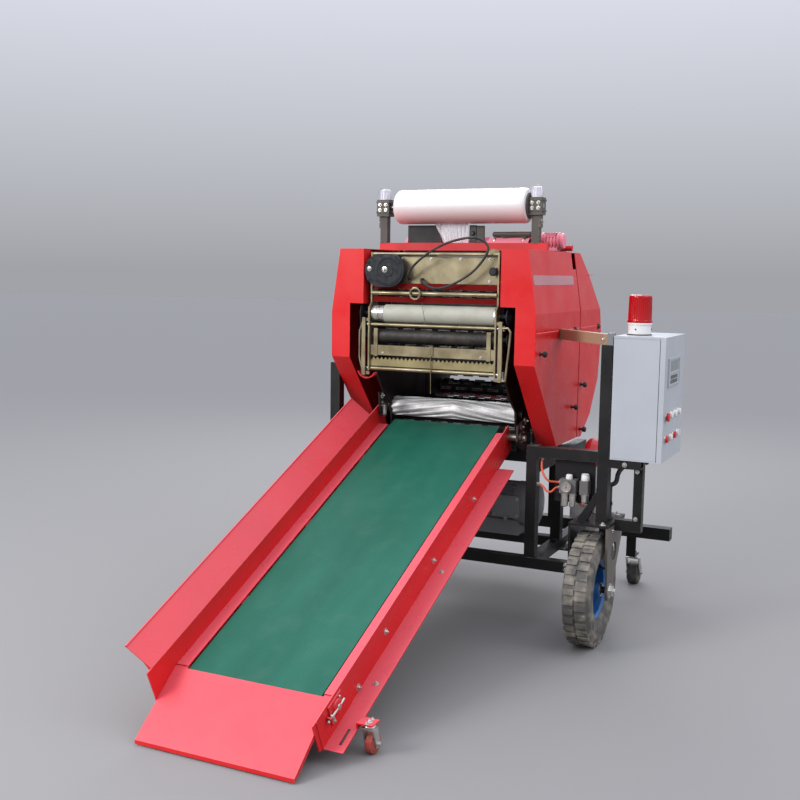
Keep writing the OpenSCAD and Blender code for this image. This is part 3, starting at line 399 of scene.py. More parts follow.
fork_grey = (0.115, 0.10, 0.085)
fork_plate_top = 0.439
for side, fork_name in ((-1, "fork_left"), (1, "fork_right")):
    face = sorted((at(side * 690.5, 0, 0).x, at(side * 699.5, 0, 0).x))
    coat([fork_name], in_parts(fork_name + "_black", black_paint,
                               [((face[0], -9, 0), (face[1], 9, fork_plate_top), fork_grey)], 0.4))
bar_low = 1.0821
bar_tan = (0.32, 0.205, 0.13)
bar_end_grey = (0.20, 0.20, 0.20)
coat(["cabinet_stand"], in_parts("stand_black", black_paint, [
    ((0, -9, bar_low), (2, 9, 1.13), bar_tan),
    ((at(660, 0, 0).x, -9, bar_low), (2, 9, 1.13), bar_end_grey)], 0.4))
cap_black = rubber("cap_black", (0.014, 0.014, 0.015), (0.16, 0.13, 0.10), 0.35, 600, 0.42)
post_x = 389
for cap_x, cap_y, cap_z in ((-post_x, 87, 700), (post_x, 87, 700), (-435, 87, 965)):
    add_block((cap_x - 19.5, cap_y - 19.5, cap_z), (cap_x + 19.5, cap_y + 19.5, cap_z + 3))
    add_turned((cap_x, cap_y, cap_z + 3), up, [(-1, 15), (0.6, 14), (1.4, 9)], 20)
done("post_caps", cap_black, "machine")
for side in (-1, 1):
    x_in = side * (post_x - 20)
    x_out = side * (post_x + 20)
    for weld_y in (67, 107):
        add_weld((x_in, weld_y, 282.5), (x_out, weld_y, 282.5))
    for weld_x in (x_in, x_out):
        add_weld((weld_x, 67, 282), (weld_x, 107, 282))
    for weld_z in (242, 282, 600, 640):
        add_weld((x_in, 107.5, weld_z), (x_out, 107.5, weld_z))
    for weld_z in (242, 600):
        add_weld((x_out, 107.5, weld_z), (x_out, 107.5, weld_z + 40))
    for weld_z in (282.5, 599.5):
        add_weld((x_in, 680, weld_z), (x_out, 680, weld_z))
        add_weld((x_out, 680, weld_z), (x_out, 720, weld_z))
        add_weld((x_in, 720, weld_z), (x_out, 720, weld_z))
    for beam_y in (280, 320, 500, 540):
        add_weld((x_in, beam_y, 600), (x_in, beam_y, 640))
        add_weld((x_in, beam_y, 640), (x_in - side * 3, beam_y, 640), 2.2)
    add_weld((x_out, 775, 282.5), (x_in, 775, 282.5))
for weld_z in (660, 700):
    add_weld((409.5, 67, weld_z), (409.5, 107, weld_z))
    add_weld((639.5, 67, weld_z), (639.5, 87, weld_z))
for weld_y in (380, 420):
    for weld_z in (282.5, 599.5):
        add_weld((369, weld_y, weld_z), (409, weld_y, weld_z))
done("frame_welds", frame_black, "machine", 0)


def stretched(tree, place, scale):
    return add_node(tree, "Mapping", {"Vector": place, "Scale": scale}).outputs[0]


def bare_steel(name, colour, stain, roughness, scratch=0.3, metal=0.9):
    finish, tree, shader, place = new_finish(name)
    cloud = mapped(tree, speckle(tree, place, 12, 8), 0.35, 0.72)
    base = mixed(tree, cloud, (*colour, 1), (*stain, 1))
    lines = speckle(tree, stretched(tree, place, (12, 900, 900)), 1.0, 3)
    rough = mapped(tree, speckle(tree, place, 25, 6), 0.3, 0.7, roughness - 0.08, roughness + 0.18)
    wire(tree, shader, base, rough, lines, scratch, 0.0002)
    shader.inputs["Metallic"].default_value = metal
    return finish


bolt_zinc = bare_steel("bolt_zinc", (0.62, 0.61, 0.58), (0.38, 0.35, 0.29), 0.28)


def bolted(name, body="machine"):
    return done(name, bolt_zinc, body, 0)


# On the right, the corner in front of the foot of the stand's strut has no bolt.
fork_bolts = [(side * bolt_x, bolt_y) for side in (-1, 1)
              for bolt_x, bolt_y in ((675, 16), (590, 215), (675, 215), (632, 120))]
for bolt_x, bolt_y in fork_bolts + [(-590, 16)]:
    add_bolt((bolt_x, bolt_y, 448), up, 7)
for side in (-1, 1):
    for bolt_z in (253, 271):
        add_bolt((side * 530, 67, bolt_z), forward, 5)
    for bolt_y in (60, 120, 175):
        add_bolt((side * 699, bolt_y, 422), (side, 0, 0), 5)
bolted("frame_bolts")

# Chamber: steel side plates, enamelled nearly black red, with the head drum's bearing brackets
# bolted to them and a sprung scraper arm on the left.
chamber_paint = ((0.016, 0.003, 0.0035), (0.010, 0.003, 0.003), (0.22, 0.20, 0.18))
foot_red = (0.55, 0.018, 0.022)
foot_low = 1.4121
chamber_red = enamel("chamber_red", *chamber_paint, (0.10, 0.075, 0.05), 0.3, 0.5)
coat(["tailgate_shell"], chamber_red)
coat(["chamber_sides"],
     in_parts("chamber_side_red", chamber_paint, [((-2, -9, foot_low), (2, 9, 1.5), foot_red)], 0.42))
head_y = 178
head_z = 709
right = (1, 0, 0)


def circle(count, radius, middle, first=0):
    turns = [math.radians(first + 360 * k / count) for k in range(count)]
    return [(middle[0] + radius * math.cos(turn), middle[1] + radius * math.sin(turn)) for turn in turns]


for side in (-1, 1):
    for bolt_y, bolt_z in ((186, 750), (228, 768), (300, 722), (300, 664)):
        add_bolt((side * 306, bolt_y, bolt_z), (side, 0, 0), 8)
    for bolt_y, bolt_z in circle(3, 22, (head_y, head_z), 90):
        add_bolt((side * 316, bolt_y, bolt_z), (side, 0, 0), 3.4, False)
    add_turned((side * 316, head_y, head_z), (side, 0, 0), [(-1, 12.3), (9, 12.3), (10, 11)], 24)
for bolt_z in (842, 808):
    add_bolt((-256, 128, bolt_z), right, 7)
spring = [(0, 5)]
for k in range(7):
    spring += [(4 + 6 * k, 8.5), (7 + 6 * k, 6)]
add_turned((-244, 128, 765), up, spring, 16)
bolted("bracket_bolts")
add_plate([(-262, 104, 856), (-262, 152, 856), (-262, 152, 766), (-262, 128, 760), (-262, 116, 769)],
          (6, 0, 0))
add_block((-258, 118, 760), (-234, 138, 766))
add_block((-258, 118, 806), (-234, 138, 812))
done("scraper_arm", chamber_red, "machine")

# Rollers: steel tubes with short bars welded on in staggered rows. Patches of the bars' edges are
# painted near white: painted highlights for the glints on bars polished by the crop. The chamber
# rollers' tubes are painted near black: painted shade inside the chamber. The infeed roller in
# front has long bars that wind towards its middle from both ends.
roller_steel = bare_steel("roller_steel", (0.42, 0.42, 0.41), (0.20, 0.18, 0.15), 0.30)
coat(["roll_spindle", "conveyor_drums"], roller_steel)


def barred_finish(name, tube_colour, edge_highlight_colour, roughness, metal):
    stain = tuple(0.6 * share for share in tube_colour)
    finish = bare_steel(name, tube_colour, stain, roughness, 0.3, metal)
    tree = finish.node_tree
    # Patches along the bars' edges are tinted towards the last colour: painted highlights.
    highlight_patches = mapped(tree, speckle(tree, object_place(finish), 30), 0.3, 0.55)
    tint(finish, joined(tree, "MULTIPLY", edge_mask(tree, 0.004, 0.995, 0.93), highlight_patches), edge_highlight_colour)
    return finish


# The chamber rollers' tube colour is near black as painted shade inside the chamber, and their bar edges
# are near white as painted highlights.
bar_steel = barred_finish("bar_steel", (0.045, 0.041, 0.037), (0.95, 0.94, 0.91), 0.45, 0.4)
infeed_steel = barred_finish("infeed_steel", (0.70, 0.69, 0.68), (0.93, 0.92, 0.91), 0.5, 0.4)
chamber_y = 490
chamber_z = 1005
ring_r = 312
roller_half = 262
bar_count = 8


def roller_seat(angle):
    turn = math.radians(angle)
    return chamber_y + ring_r * math.cos(turn), chamber_z + ring_r * math.sin(turn)


def add_bar_roller(angle):
    seat_y, seat_z = roller_seat(angle)
    add_turned((-roller_half, seat_y, seat_z), right,
               [(0, 33), (1.5, 35), (2 * roller_half - 1.5, 35), (2 * roller_half, 33)], 36)
    for k in range(bar_count):
        turn = 2 * math.pi * k / bar_count
        out = Vector((0, math.cos(turn), math.sin(turn)))
        along = Vector((0, -math.sin(turn), math.cos(turn)))
        for row in range(7):
            low_x = -roller_half + 8 + row * 74 + (37 if k % 2 else 0)
            high_x = min(low_x + 46, roller_half - 4)
            foot = Vector((low_x, seat_y, seat_z))
            corners = [foot + out * 33 - along * 4.5, foot + out * 39.4 - along * 3, foot + out * 40,
                       foot + out * 39.4 + along * 3, foot + out * 33 + along * 4.5]
            add_plate(corners, (high_x - low_x, 0, 0))


for angle in (180, 162, 144, 126, 108, 90, 246, 266):
    add_bar_roller(angle)
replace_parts(done("chamber_bar_rollers", bar_steel, "machine", 0), "chamber_rollers")
for step in range(-4, 5):
    add_bar_roller(18 * step)
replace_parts(done("tailgate_bar_rollers", bar_steel, "tailgate", 0), "tailgate_rollers")
infeed_y, infeed_z = roller_seat(224)
rings = []
slices = 60
infeed_bars = 10
bar_half = ((-9, 35), (-5.6, 35.3), (-4.4, 39.2), (-2.4, 40))
bar_section = bar_half + tuple((-offset, radius) for offset, radius in bar_half[::-1])
for s in range(slices + 1):
    x = -roller_half + 2 * roller_half * s / slices
    wind = math.radians(75) * abs(x) / roller_half
    ring = []
    for k in range(infeed_bars):
        for offset, radius in bar_section:
            turn = 2 * math.pi * k / infeed_bars + offset / 36 + wind
            ring.append(bench.verts.new(at(x, infeed_y + radius * math.cos(turn),
                                           infeed_z + radius * math.sin(turn))))
    rings.append(ring)
skin(rings)
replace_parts(done("infeed_wound_roller", infeed_steel, "machine", 0), "infeed_roller")

# Covers, hood and ramp: folded sheet with glossy red enamel. The side panels have a lap seam with
# spring clips, four stand-off knobs and a blank plate under the top edge.
red_paint = ((0.64, 0.016, 0.018), (0.57, 0.012, 0.014), (0.72, 0.18, 0.16))
# The covers' upward faces get a painted sky sheen: the last argument's share of pale lilac.
cover_red = enamel("cover_red", *red_paint, (0.42, 0.13, 0.09), 0.12, 0.28, 0.4, 0.0, 0.09)
# The hood, the binder motor and the motor cowl get a paler, pinker red than the covers: faded paint,
# brightened further as a painted sheen of the bright sky on these upper parts. Their upward faces also get
# the painted sky sheen from the last argument.
faded_and_sheen_red = enamel("faded_and_sheen_red", (0.87, 0.25, 0.32), (0.79, 0.18, 0.24), (0.82, 0.42, 0.42),
                   (0.62, 0.34, 0.32), 0.25, 0.34, 0.4, 0.0, 0.1)
coat(["cover_left", "cover_right", "tailgate_covers", "conveyor_frame", "feed_boards", "apron_plate"],
     cover_red)
coat(["top_hood", "binder_motor"], faded_and_sheen_red)
leg_black = (0.007, 0.007, 0.0075)
coat(["discharge_ramp"],
     in_parts("ramp_red", red_paint, [((-2, -9, 0), (2, at(0, 812, 0).y, 0.5), leg_black)], 0.3))
plate_lilac = enamel("plate_lilac", (0.50, 0.24, 0.26), (0.44, 0.20, 0.22), (0.5, 0.4, 0.4),
                     (0.4, 0.3, 0.28), 0.2, 0.30, 0.2)
clip_black = rubber("clip_black", (0.012, 0.012, 0.013), (0.12, 0.10, 0.08), 0.3, 500, 0.38)
cover_out = 412
seam_z = 1104


def leaning_x(z):
    return cover_out - 34 * (z - 1182) / 230


def add_seam(side, front, run):
    inner = side * cover_out
    outer = side * (cover_out + 1.6)
    add_plate([(inner, front, seam_z), (outer, front + 2, seam_z), (outer, front + 2, seam_z + 9),
               (inner, front, seam_z + 11)], (0, run, 0))


def add_rod(start, end, radius, sides=16):
    along = Vector(end) - Vector(start)
    add_turned(start, along, [(0, radius), (along.length, radius)], sides)


for side, word in ((-1, "left"), (1, "right")):
    add_seam(side, 6, 546)
    add_plate([(side * 277.5, -0.4, 1205), (side * 277.5, -0.4, 1412), (side * 280.5, -0.4, 1412),
               (side * 280.5, -0.4, 1205)], (0, 3, 0))
    add_weld((side * 411.6, 0.5, 1001), (side * 411.6, 0.5, 1180), 1.6, 9)
    done("cover_seam_" + word, cover_red, "machine", 0.5)
    add_seam(side, 570, 298)
    done("tailgate_seam_" + word, cover_red, "tailgate", 0.5)
    corners = []
    for plate_y, plate_z in ((22, 1285), (496, 1285), (504, 1291), (504, 1314), (496, 1320), (22, 1320),
                             (14, 1314), (14, 1291)):
        corners.append((side * (leaning_x(plate_z) - 0.4), plate_y, plate_z))
    add_plate(corners, (side * 1.3, 0, 0.2))
    done("blank_plate_" + word, plate_lilac, "machine", 0.3)
    for body, clips, knobs in (("machine", (304, 489), ((58, 1038), (476, 803))),
                               ("tailgate", (830,), ((590, 883), (600, 699)))):
        for clip_y in clips:
            add_block((side * cover_out, clip_y - 11, seam_z - 6),
                      (side * (cover_out + 3), clip_y + 11, seam_z + 16))
            add_turned((side * (cover_out + 2), clip_y, seam_z + 5), (side, 0, 0),
                       [(0, 7), (5, 7), (7, 5)], 16)
        for knob_y, knob_z in knobs:
            add_turned((side * cover_out, knob_y, knob_z), (side, 0, 0),
                       [(-1, 9), (1.5, 9), (2, 5), (13, 5), (14, 10.5), (22, 11.5), (26, 9.5), (27.5, 5)],
                       24)
        done("cover_knobs_%s_%s" % (word, body), clip_black, body, 0.3)
add_block((284, 392, 1412), (372, 476, 1415))
add_plate([(322, 330, 1412.2), (376, 330, 1412.2), (376, 392, 1412.2), (322, 392, 1412.2)], (0, 0, 2.2))
done("motor_mat", clip_black, "machine")
add_turned((364, 440, 1454), right, [(-1, 31), (3, 31), (9, 27), (11, 12)], 32)
for rib_y, rib_z in circle(8, 24, (440, 1454), 22):
    add_rod((280.5, rib_y, rib_z), (364, rib_y, rib_z), 4)
add_block((304, 410, 1468), (344, 436, 1486))
done("motor_cowl", faded_and_sheen_red, "machine")
for bolt_x in (296, 344):
    for bolt_y in (426, 454):
        add_bolt((bolt_x, bolt_y, 1415), up, 3.5)
for bolt_x in (-240, -120, 120, 240):
    add_bolt((bolt_x, 340, 1457), (0, -0.7, 0.7), 4.5)
    add_bolt((bolt_x, 500, 1466), up, 4.5)
bolted("hood_bolts")

# Binder: a yellow zinc-plated frame with a black drive guard, a pale press roller with a ribbed
# steel end, a dark film roller, a serrated film knife and thin guide rods between its side flats.
zinc_plate = bare_steel("zinc_plate", (0.31, 0.262, 0.16), (0.15, 0.12, 0.062), 0.38, 0.3, 0.65)
coat(["binder_sides", "binder_bars"], zinc_plate)
knife_zinc = bare_steel("knife_zinc", (0.30, 0.25, 0.115), (0.17, 0.13, 0.055), 0.5, 0.3, 0.3)
knife_tree = knife_zinc.node_tree
knife_height = add_node(knife_tree, "SeparateXYZ", {0: object_place(knife_zinc)}).outputs[2]
red_band = joined(knife_tree, "GREATER_THAN", knife_height, 1.1)
tint(knife_zinc, red_band, (0.14, 0.004, 0.003))
for socket, plated, painted in (("Specular IOR Level", 0.5, 0.06), ("Metallic", 0.3, 0)):
    knife_tree.links.new(mapped(knife_tree, red_band, 0, 1, plated, painted),
                         knife_tree.nodes["Principled BSDF"].inputs[socket])
coat(["binder_knife"], knife_zinc)
coat(["press_roller"], rubber("press_lining", (0.40, 0.395, 0.33), (0.28, 0.25, 0.17), 0.5))
coat(["film_roller"], rubber("film_lining", (0.018, 0.015, 0.012), (0.09, 0.07, 0.05), 0.5))
guard_black = rubber("guard_black", (0.005, 0.006, 0.009), (0.04, 0.038, 0.04), 0.25, 700, 0.6)
coat(["binder_guard"], guard_black)
add_turned((-176, 4.5, 1331), forward,
           [(0, 59), (1.6, 59), (3, 56), (3, 45), (1.4, 43), (1.4, 24), (3.4, 22), (3.4, 8)], 64)
backward = (0, 1, 0)
add_turned((-176, 28, 1331), backward, [(-1, 40), (8, 40), (12, 36)], 48)
for rim_x, rim_z in ((-258, 1364), (-258, 1298)):
    add_turned((rim_x, 4.3, rim_z), forward, [(0, 7), (1.6, 7), (2.4, 5)], 16)
add_block((228, 20, 1317), (252, 32, 1345))
add_turned((239, 49.8, 1331), forward, [(0, 8), (20, 8), (21, 15), (30, 16), (34, 12)], 12)
done("guard_ring", guard_black, "machine")
add_bolt((-189, 2.4, 1334), forward, 7)
add_bolt((-255, 4, 1336), forward, 5.5)
for bolt_x, bolt_z in ((-140, 1375), (-20, 1375), (100, 1295), (100, 1375), (215, 1295), (215, 1375)):
    add_bolt((bolt_x, 50, bolt_z), forward, 3.6)
for bolt_x in (-200, 0, 200):
    add_bolt((bolt_x, 16, 1018), forward, 3.2)
bolted("binder_bolts")
coil = [(0, 24)]
for k in range(10):
    coil += [(2 + 5.6 * k, 31), (4.2 + 5.6 * k, 31), (5.2 + 5.6 * k, 26.5)]
add_turned((-252.6, 46, 1168), right, coil, 40)
add_turned((246, 46, 1168), right, [(0, 34.5), (2, 35.4), (6.6, 35.4), (7.6, 30), (7.6, 12)], 40)
for rod_z, rod_y, rod_r in ((1126, 20, 6), (958, 22, 7)):
    for side in (-1, 1):
        add_rod((side * 254, rod_y, rod_z), (side * 290, rod_y, rod_z), rod_r)
        add_turned((side * 284, rod_y, rod_z), (side, 0, 0),
                   [(0, rod_r + 5), (6, rod_r + 5), (7, rod_r + 3)], 6)
done("press_roller_ends", bare_steel("coil_chrome", (0.80, 0.80, 0.79), (0.5, 0.48, 0.44), 0.18), "machine",
     0)


def add_bent_rod(points, radius, sides=10):
    for start, end in zip(points, points[1:]):
        add_rod(start, end, radius, sides)
    ball = [(share * radius, width * radius)
            for share, width in ((0, 0.2), (0.4, 0.8), (1, 1), (1.6, 0.8), (2, 0.2))]
    for joint in points[1:-1]:
        add_turned(Vector(joint) - Vector((0, 0, radius)), up, ball, sides)


for side in (-1, 1):
    add_plate([(side * 270, 4, 932), (side * 284, 4, 932), (side * 286, 4, 1000), (side * 284, 4, 1152),
               (side * 270, 4, 1152)], (0, 6, 0))
    add_block((side * 222, 14, 1006), (side * 238, 20, 1112))
    for block_z in (1138, 934):
        add_block((side * 254, 10, block_z), (side * 284, 16, block_z + 12))
add_bent_rod([(270, 8, 1128), (306, 8, 1130), (316, 8, 1116), (311, 8, 1052), (299, 8, 938),
              (286, 8, 938)], 4)
add_bent_rod([(-286, 8, 960), (-296, 8, 1000), (-296, 8, 1100), (-284, 8, 1130)], 3.2)
add_block((-6, 12, 1016), (10, 16, 1050))
add_bent_rod([(2, 12, 1056), (2, 12, 1000), (4, 12, 874)], 1.6, 8)
add_bent_rod([(-46, 33.5, 1214), (-34, 9.5, 1196), (-22, 13, 1131)], 0.9, 6)
add_plate([(198, 48, 1386), (250, 48, 1386), (250, 48, 1408), (226, 48, 1414), (198, 48, 1398)], (0, 3, 0))
add_block((-98, 46.8, 1258), (-60, 49.8, 1292))
eye_ring = [(x, 15, z) for x, z in circle(24, 21, (-68, 1246))]
for start, end in zip(eye_ring, eye_ring[1:] + eye_ring[:1]):
    add_rod(start, end, 3.4, 10)
add_block((-78, 12, 1266), (-58, 49.8, 1271))
done("binder_frame_bars", zinc_plate, "machine", 0.5)
outer = circle(24, 40, (-265, 958), 200)
inner = circle(24, 36, (-265, 958), 200)
for k in range(9):
    add_plate([(x, 6, z) for x, z in (outer[k], outer[k + 1], inner[k + 1], inner[k])], (0, 26, 0))
done("binder_lip", cover_red, "machine", 0)
for side in (-1, 1):
    for seat_z, tooth_r in ((1168, 34), (1084, 26)):
        add_rod((side * 261, 46, seat_z), (side * 308, 46, seat_z), 9)
        add_turned((side * 292, 46, seat_z), (side, 0, 0),
                   [(0, tooth_r - 8), (2, tooth_r), (6, tooth_r), (8, tooth_r - 8), (12, 14), (14, 14)], 22)
add_plate([(-294, 10, 1168), (-294, 10, 1176), (-294, 20, 1196), (-294, 46, 1204), (-294, 70, 1196),
           (-294, 82, 1168), (-294, 74, 1084), (-294, 60, 1062), (-294, 46, 1056), (-294, 30, 1062),
           (-294, 18, 1084)], (-3, 0, 0))
done("binder_sprockets", guard_black, "machine", 0.4)

# Film roll: white stretch film wound on a card core, with soft turned-in ends and grey flanges.
# It hangs in clamps between two grey tube posts, which are closed by ribbed plastic caps.
film_white = rubber("film_white", (0.70, 0.69, 0.685), (0.72, 0.70, 0.69), 0.3, 200, 0.28)
# The roll's downward faces are tinted red: a painted reflection of the red hood under it.
film_underside_red_reflection = mapped(film_white.node_tree, facing_up(film_white.node_tree), 0.1, -0.8, 0, 0.75)
tint(film_white, film_underside_red_reflection, (0.78, 0.36, 0.34))
roll_y = 298
roll_z = 1583
roll_profile = [(0, 22), (0, 50), (3, 60), (9, 65.4), (18, 67)]
for k in range(1, 22):
    roll_profile.append((18 + k * 514 / 22, 66.8 + 0.2 * math.sin(k * 2.1)))
roll_profile += [(532, 67), (541, 65.6), (547, 61), (550, 52), (550, 22)]
add_turned((-275, roll_y, roll_z), right, roll_profile, 72)
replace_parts(done("film_roll_wound", film_white, "film_reel", 0), "film_roll")
stand_grey = enamel("stand_grey", (0.0777, 0.0703, 0.05772), (0.0555, 0.05032, 0.04144), (0.38, 0.37, 0.35),
                    (0.24, 0.20, 0.15), 0.4, 0.42)
coat(["roll_stand"], stand_grey)
coat(["film_tray"], enamel("tray_slate", (0.0248, 0.02232, 0.02108), (0.0186, 0.01736, 0.01674),
                           (0.3, 0.3, 0.3), (0.20, 0.16, 0.12), 0.3, 0.5))
for side, flange_r in ((1, 50), (-1, 30)):
    add_turned((side * 275, roll_y, roll_z), (side, 0, 0),
               [(-1, flange_r), (3, flange_r), (5, flange_r - 2), (6, 24), (10, 22), (11, 11)], 40)
done("core_flanges", stand_grey, "film_reel")
posts = ((-1, -335), (1, 305))
cap_profile = [(0, 23.5), (4, 23.5), (6, 22.6), (34, 20.4), (39, 18.6), (41, 14)]
for _, post_x_mid in posts:
    foot = Vector((post_x_mid, roll_y, 0))
    add_turned((post_x_mid, roll_y, 1613), up, cap_profile, 36)
    for x, y in circle(14, 1, (0, 0)):
        out = Vector((x, y, 0))
        beside = Vector((-y, x, 0)) * 1.3
        low = foot + out * 20 + Vector((0, 0, 1618))
        add_plate([low - beside, low + out * 5 - beside, foot + out * 22.4 - beside + Vector((0, 0, 1649)),
                   foot + out * 18 - beside + Vector((0, 0, 1650))], beside * 2)
cap_lilac = rubber("cap_lilac", (0.62, 0.60, 0.66), (0.46, 0.44, 0.44), 0.4, 400, 0.35)
done("post_top_caps", cap_lilac, "machine", 0.4)
for side, post_x_mid in posts:
    face = post_x_mid - side * 26
    end = side * 281
    for prong_z in (1596, 1566):
        add_block((face, 289, prong_z - 4), (end, 307, prong_z + 4))
    for strap_z in (1560, 1600):
        add_block((post_x_mid - 29, 270, strap_z), (post_x_mid + 29, 326, strap_z + 6))
    add_block((post_x_mid + side * 15, 283, 1500), (post_x_mid + side * 20, 313, 1546))
    for weld_y in (282.5, 313.5):
        add_weld((post_x_mid - 15, weld_y, 1443), (post_x_mid + 15, weld_y, 1443), 2.2)
done("clamp_brackets", stand_grey, "machine")
for side, post_x_mid in posts:
    for bolt_z in (1573, 1593):
        for bolt_x in (post_x_mid - 13, post_x_mid + 13):
            add_bolt((bolt_x, 272, bolt_z), forward, 4.5)
    add_bolt((post_x_mid + side * 20, 298, 1523), (side, 0, 0), 6)
    bail = []
    for k in range(9):
        turn = math.radians(-20 + 25 * k)
        bail.append((post_x_mid + side * 2 + 24 * math.cos(turn), 274, 1630 + 30 * math.sin(turn)))
    add_bent_rod(bail, 1.3, 6)
bolted("clamp_bolts")
add_turned((112, 346, 1477), right, [(0, 8), (5, 11.5), (12, 11.8), (150, 11.8), (157, 11.5), (162, 8)], 28)
add_block((54, 318, 1444), (84, 330, 1510))
for clip_x in (150, 230):
    add_block((clip_x, 336, 1464), (clip_x + 20, 356, 1468))
done("hood_tube", stand_grey, "machine")
add_block((24, 316, 1440), (53, 330, 1512))
add_turned((38, 316, 1480), forward, [(-1, 9), (6, 9), (8, 6)], 18)
done("web_clamp", clip_black, "machine")

# Film web: thin clear stretch film that leaves the underside of the roll and goes down into the
# hood, gathered into pleats on its way.
web_rows = 26
web_columns = 90
grid = []
for row in range(web_rows + 1):
    t = row / web_rows
    low_x = -122 + 49 * t
    high_x = 23 - 2 * t
    line = []
    for column in range(web_columns + 1):
        s = column / web_columns
        pleat = 3.4 * math.sin(s * 43 + 1.5 * math.sin(3 * t + s * 6)) + 1.6 * math.sin(s * 97 + 4 * t)
        line.append(bench.verts.new(at(low_x + (high_x - low_x) * s,
                                       307 + pleat * (0.35 + 0.65 * t) + 9 * t, 1519 - 100 * t)))
    grid.append(line)
for upper, lower in zip(grid, grid[1:]):
    for k in range(web_columns):
        bench.faces.new((upper[k], upper[k + 1], lower[k + 1], lower[k]))
web_area = sum(face.calc_area() for face in bench.faces)
web_finish, web_tree, web_shader, web_place = new_finish("web_film")
crinkle = speckle(web_tree, stretched(web_tree, web_place, (260, 260, 30)), 1, 4)
web_colour = mixed(web_tree, mapped(web_tree, crinkle, 0.35, 0.7), (0.90, 0.90, 0.92, 1),
                   (0.70, 0.68, 0.72, 1))
wire(web_tree, web_shader, web_colour, mapped(web_tree, crinkle, 0.3, 0.7, 0.15, 0.4), crinkle, 0.5, 0.001)
web_shader.inputs["Transmission Weight"].default_value = 0.35
web_piece = done("film_web", web_finish, "machine", 0)

# Wheels: pneumatic tyres with two columns of tread blocks on blue pressed rims, an axle with a
# nut outside each fork, hub bolts and a tyre valve.
tyre_black = rubber("tyre_black", (0.075, 0.070, 0.063), (0.34, 0.30, 0.24), 0.85, 500, 0.6)
rim_blue = enamel("rim_blue", (0.012, 0.12, 0.36), (0.010, 0.09, 0.26), (0.4, 0.4, 0.4), (0.28, 0.24, 0.18),
                  0.4, 0.28, 0.5, 0.3)
coat(["tyre_left", "tyre_right"], tyre_black)
coat(["rim_left", "rim_right"], rim_blue)
wheel_x = 627
wheel_y = 50
wheel_z = 205


def add_ring(start, along, section, sides=28):
    axis, outs = spokes(along, sides)
    turns = []
    for out in outs:
        turns.append([bench.verts.new(at(*(Vector(start) + axis * distance + radius * out)))
                      for distance, radius in section])
    skin(turns + turns[:1], False)


for side, word in ((-1, "left"), (1, "right")):
    body = "wheel_" + word
    for face in (-1, 1):
        outward = side * face
        for ridge, ring_x in ((128, 47.5), (137, 50.0), (158, 51.2)):
            add_ring((side * wheel_x + outward * (ring_x - 2), wheel_y, wheel_z), (outward, 0, 0),
                     [(0, ridge - 1.6), (2.2, ridge - 0.8), (2.2, ridge + 0.8), (0, ridge + 1.6)], 96)
    done("tyre_ridges_" + word, tyre_black, body, 0)
    for bolt_y, bolt_z in circle(5, 43, (wheel_y, wheel_z), 18):
        add_bolt((side * (wheel_x - 3), bolt_y, bolt_z), (side, 0, 0), 6)
    add_turned((side * (wheel_x + 39.5), wheel_y, wheel_z), (side, 0, 0),
               [(0, 24), (4, 24), (6, 21), (7, 13.5)], 32)
    bolted("hub_bolts_" + word, body)
    stem = ((6, 60, 72), (22, 56, 66), (34, 55, 64))
    add_bent_rod([(side * (wheel_x + x), wheel_y + y, wheel_z + z) for x, y, z in stem], 3.2)
    add_turned((side * (wheel_x + 33), wheel_y + 55, wheel_z + 64), (side, 0, 0),
               [(0, 4), (8, 4), (9, 3)], 12)
    done("tyre_valve_" + word, clip_black, body, 0)
    add_turned((side * 699, wheel_y, wheel_z), (side, 0, 0),
               [(0, 26), (3, 26), (3.4, 21), (12.4, 21), (13.4, 18)], 6)
    add_turned((side * 699, wheel_y, wheel_z), (side, 0, 0), [(0, 27), (2.6, 27), (3, 25)], 36)
    add_turned((side * 711, wheel_y, wheel_z), (side, 0, 0), [(0, 10), (8, 10), (9.5, 8.5)], 20)
    bolted("axle_nut_" + word)

# Cabinet: pale grey sheet steel with a rubber door seal, an operating panel with two rows of
# push buttons, cable glands underneath and a red warning lamp on a white foot.
cabinet_grey = enamel("cabinet_grey", (0.44, 0.465, 0.495), (0.39, 0.415, 0.445), (0.45, 0.45, 0.44),
                      (0.50, 0.46, 0.40), 0.2, 0.36, 0.4)
coat(["cabinet_box", "cabinet_door"], cabinet_grey)
coat(["cabinet_gear"], rubber("gear_plastic", (0.5, 0.5, 0.48), (0.4, 0.38, 0.34), 0.3))
white_plastic = rubber("white_plastic", (0.74, 0.74, 0.72), (0.5, 0.46, 0.4), 0.3, 300, 0.35)
coat(["beacon_base"], white_plastic)
red_plastic = rubber("red_plastic", (0.62, 0.008, 0.012), (0.4, 0.05, 0.04), 0.2, 300, 0.25)
lens_red, lens_tree, lens_shader, lens_place = new_finish("lens_red")
lens_cloud = speckle(lens_tree, lens_place, 30)
wire(lens_tree, lens_shader, mixed(lens_tree, lens_cloud, (0.60, 0.004, 0.006, 1), (0.46, 0.003, 0.005, 1)),
     mapped(lens_tree, lens_cloud, 0.3, 0.7, 0.12, 0.24), lens_cloud, 0.05, 0.0005)
lens_shader.inputs["Transmission Weight"].default_value = 0.3
cab_x = 684
cab_front = 45
cab_z = 680
for low_y, low_z, high_y, high_z in ((49, 684, 53, 1111), (367, 684, 371, 1111), (49, 684, 371, 688),
                                     (49, 1107, 371, 1111)):
    add_block((844, low_y, low_z), (846, high_y, high_z))
done("door_seal", clip_black, "machine", 0)
add_block((cab_x - 0.4, cab_front - 1.2, 1108), (846, cab_front + 0.2, 1116))
add_block((cab_x + 8, cab_front - 0.8, cab_z + 6), (838, cab_front, cab_z + 9))
done("cabinet_lip", cabinet_grey, "machine", 0.5)
down = (0, 0, -1)
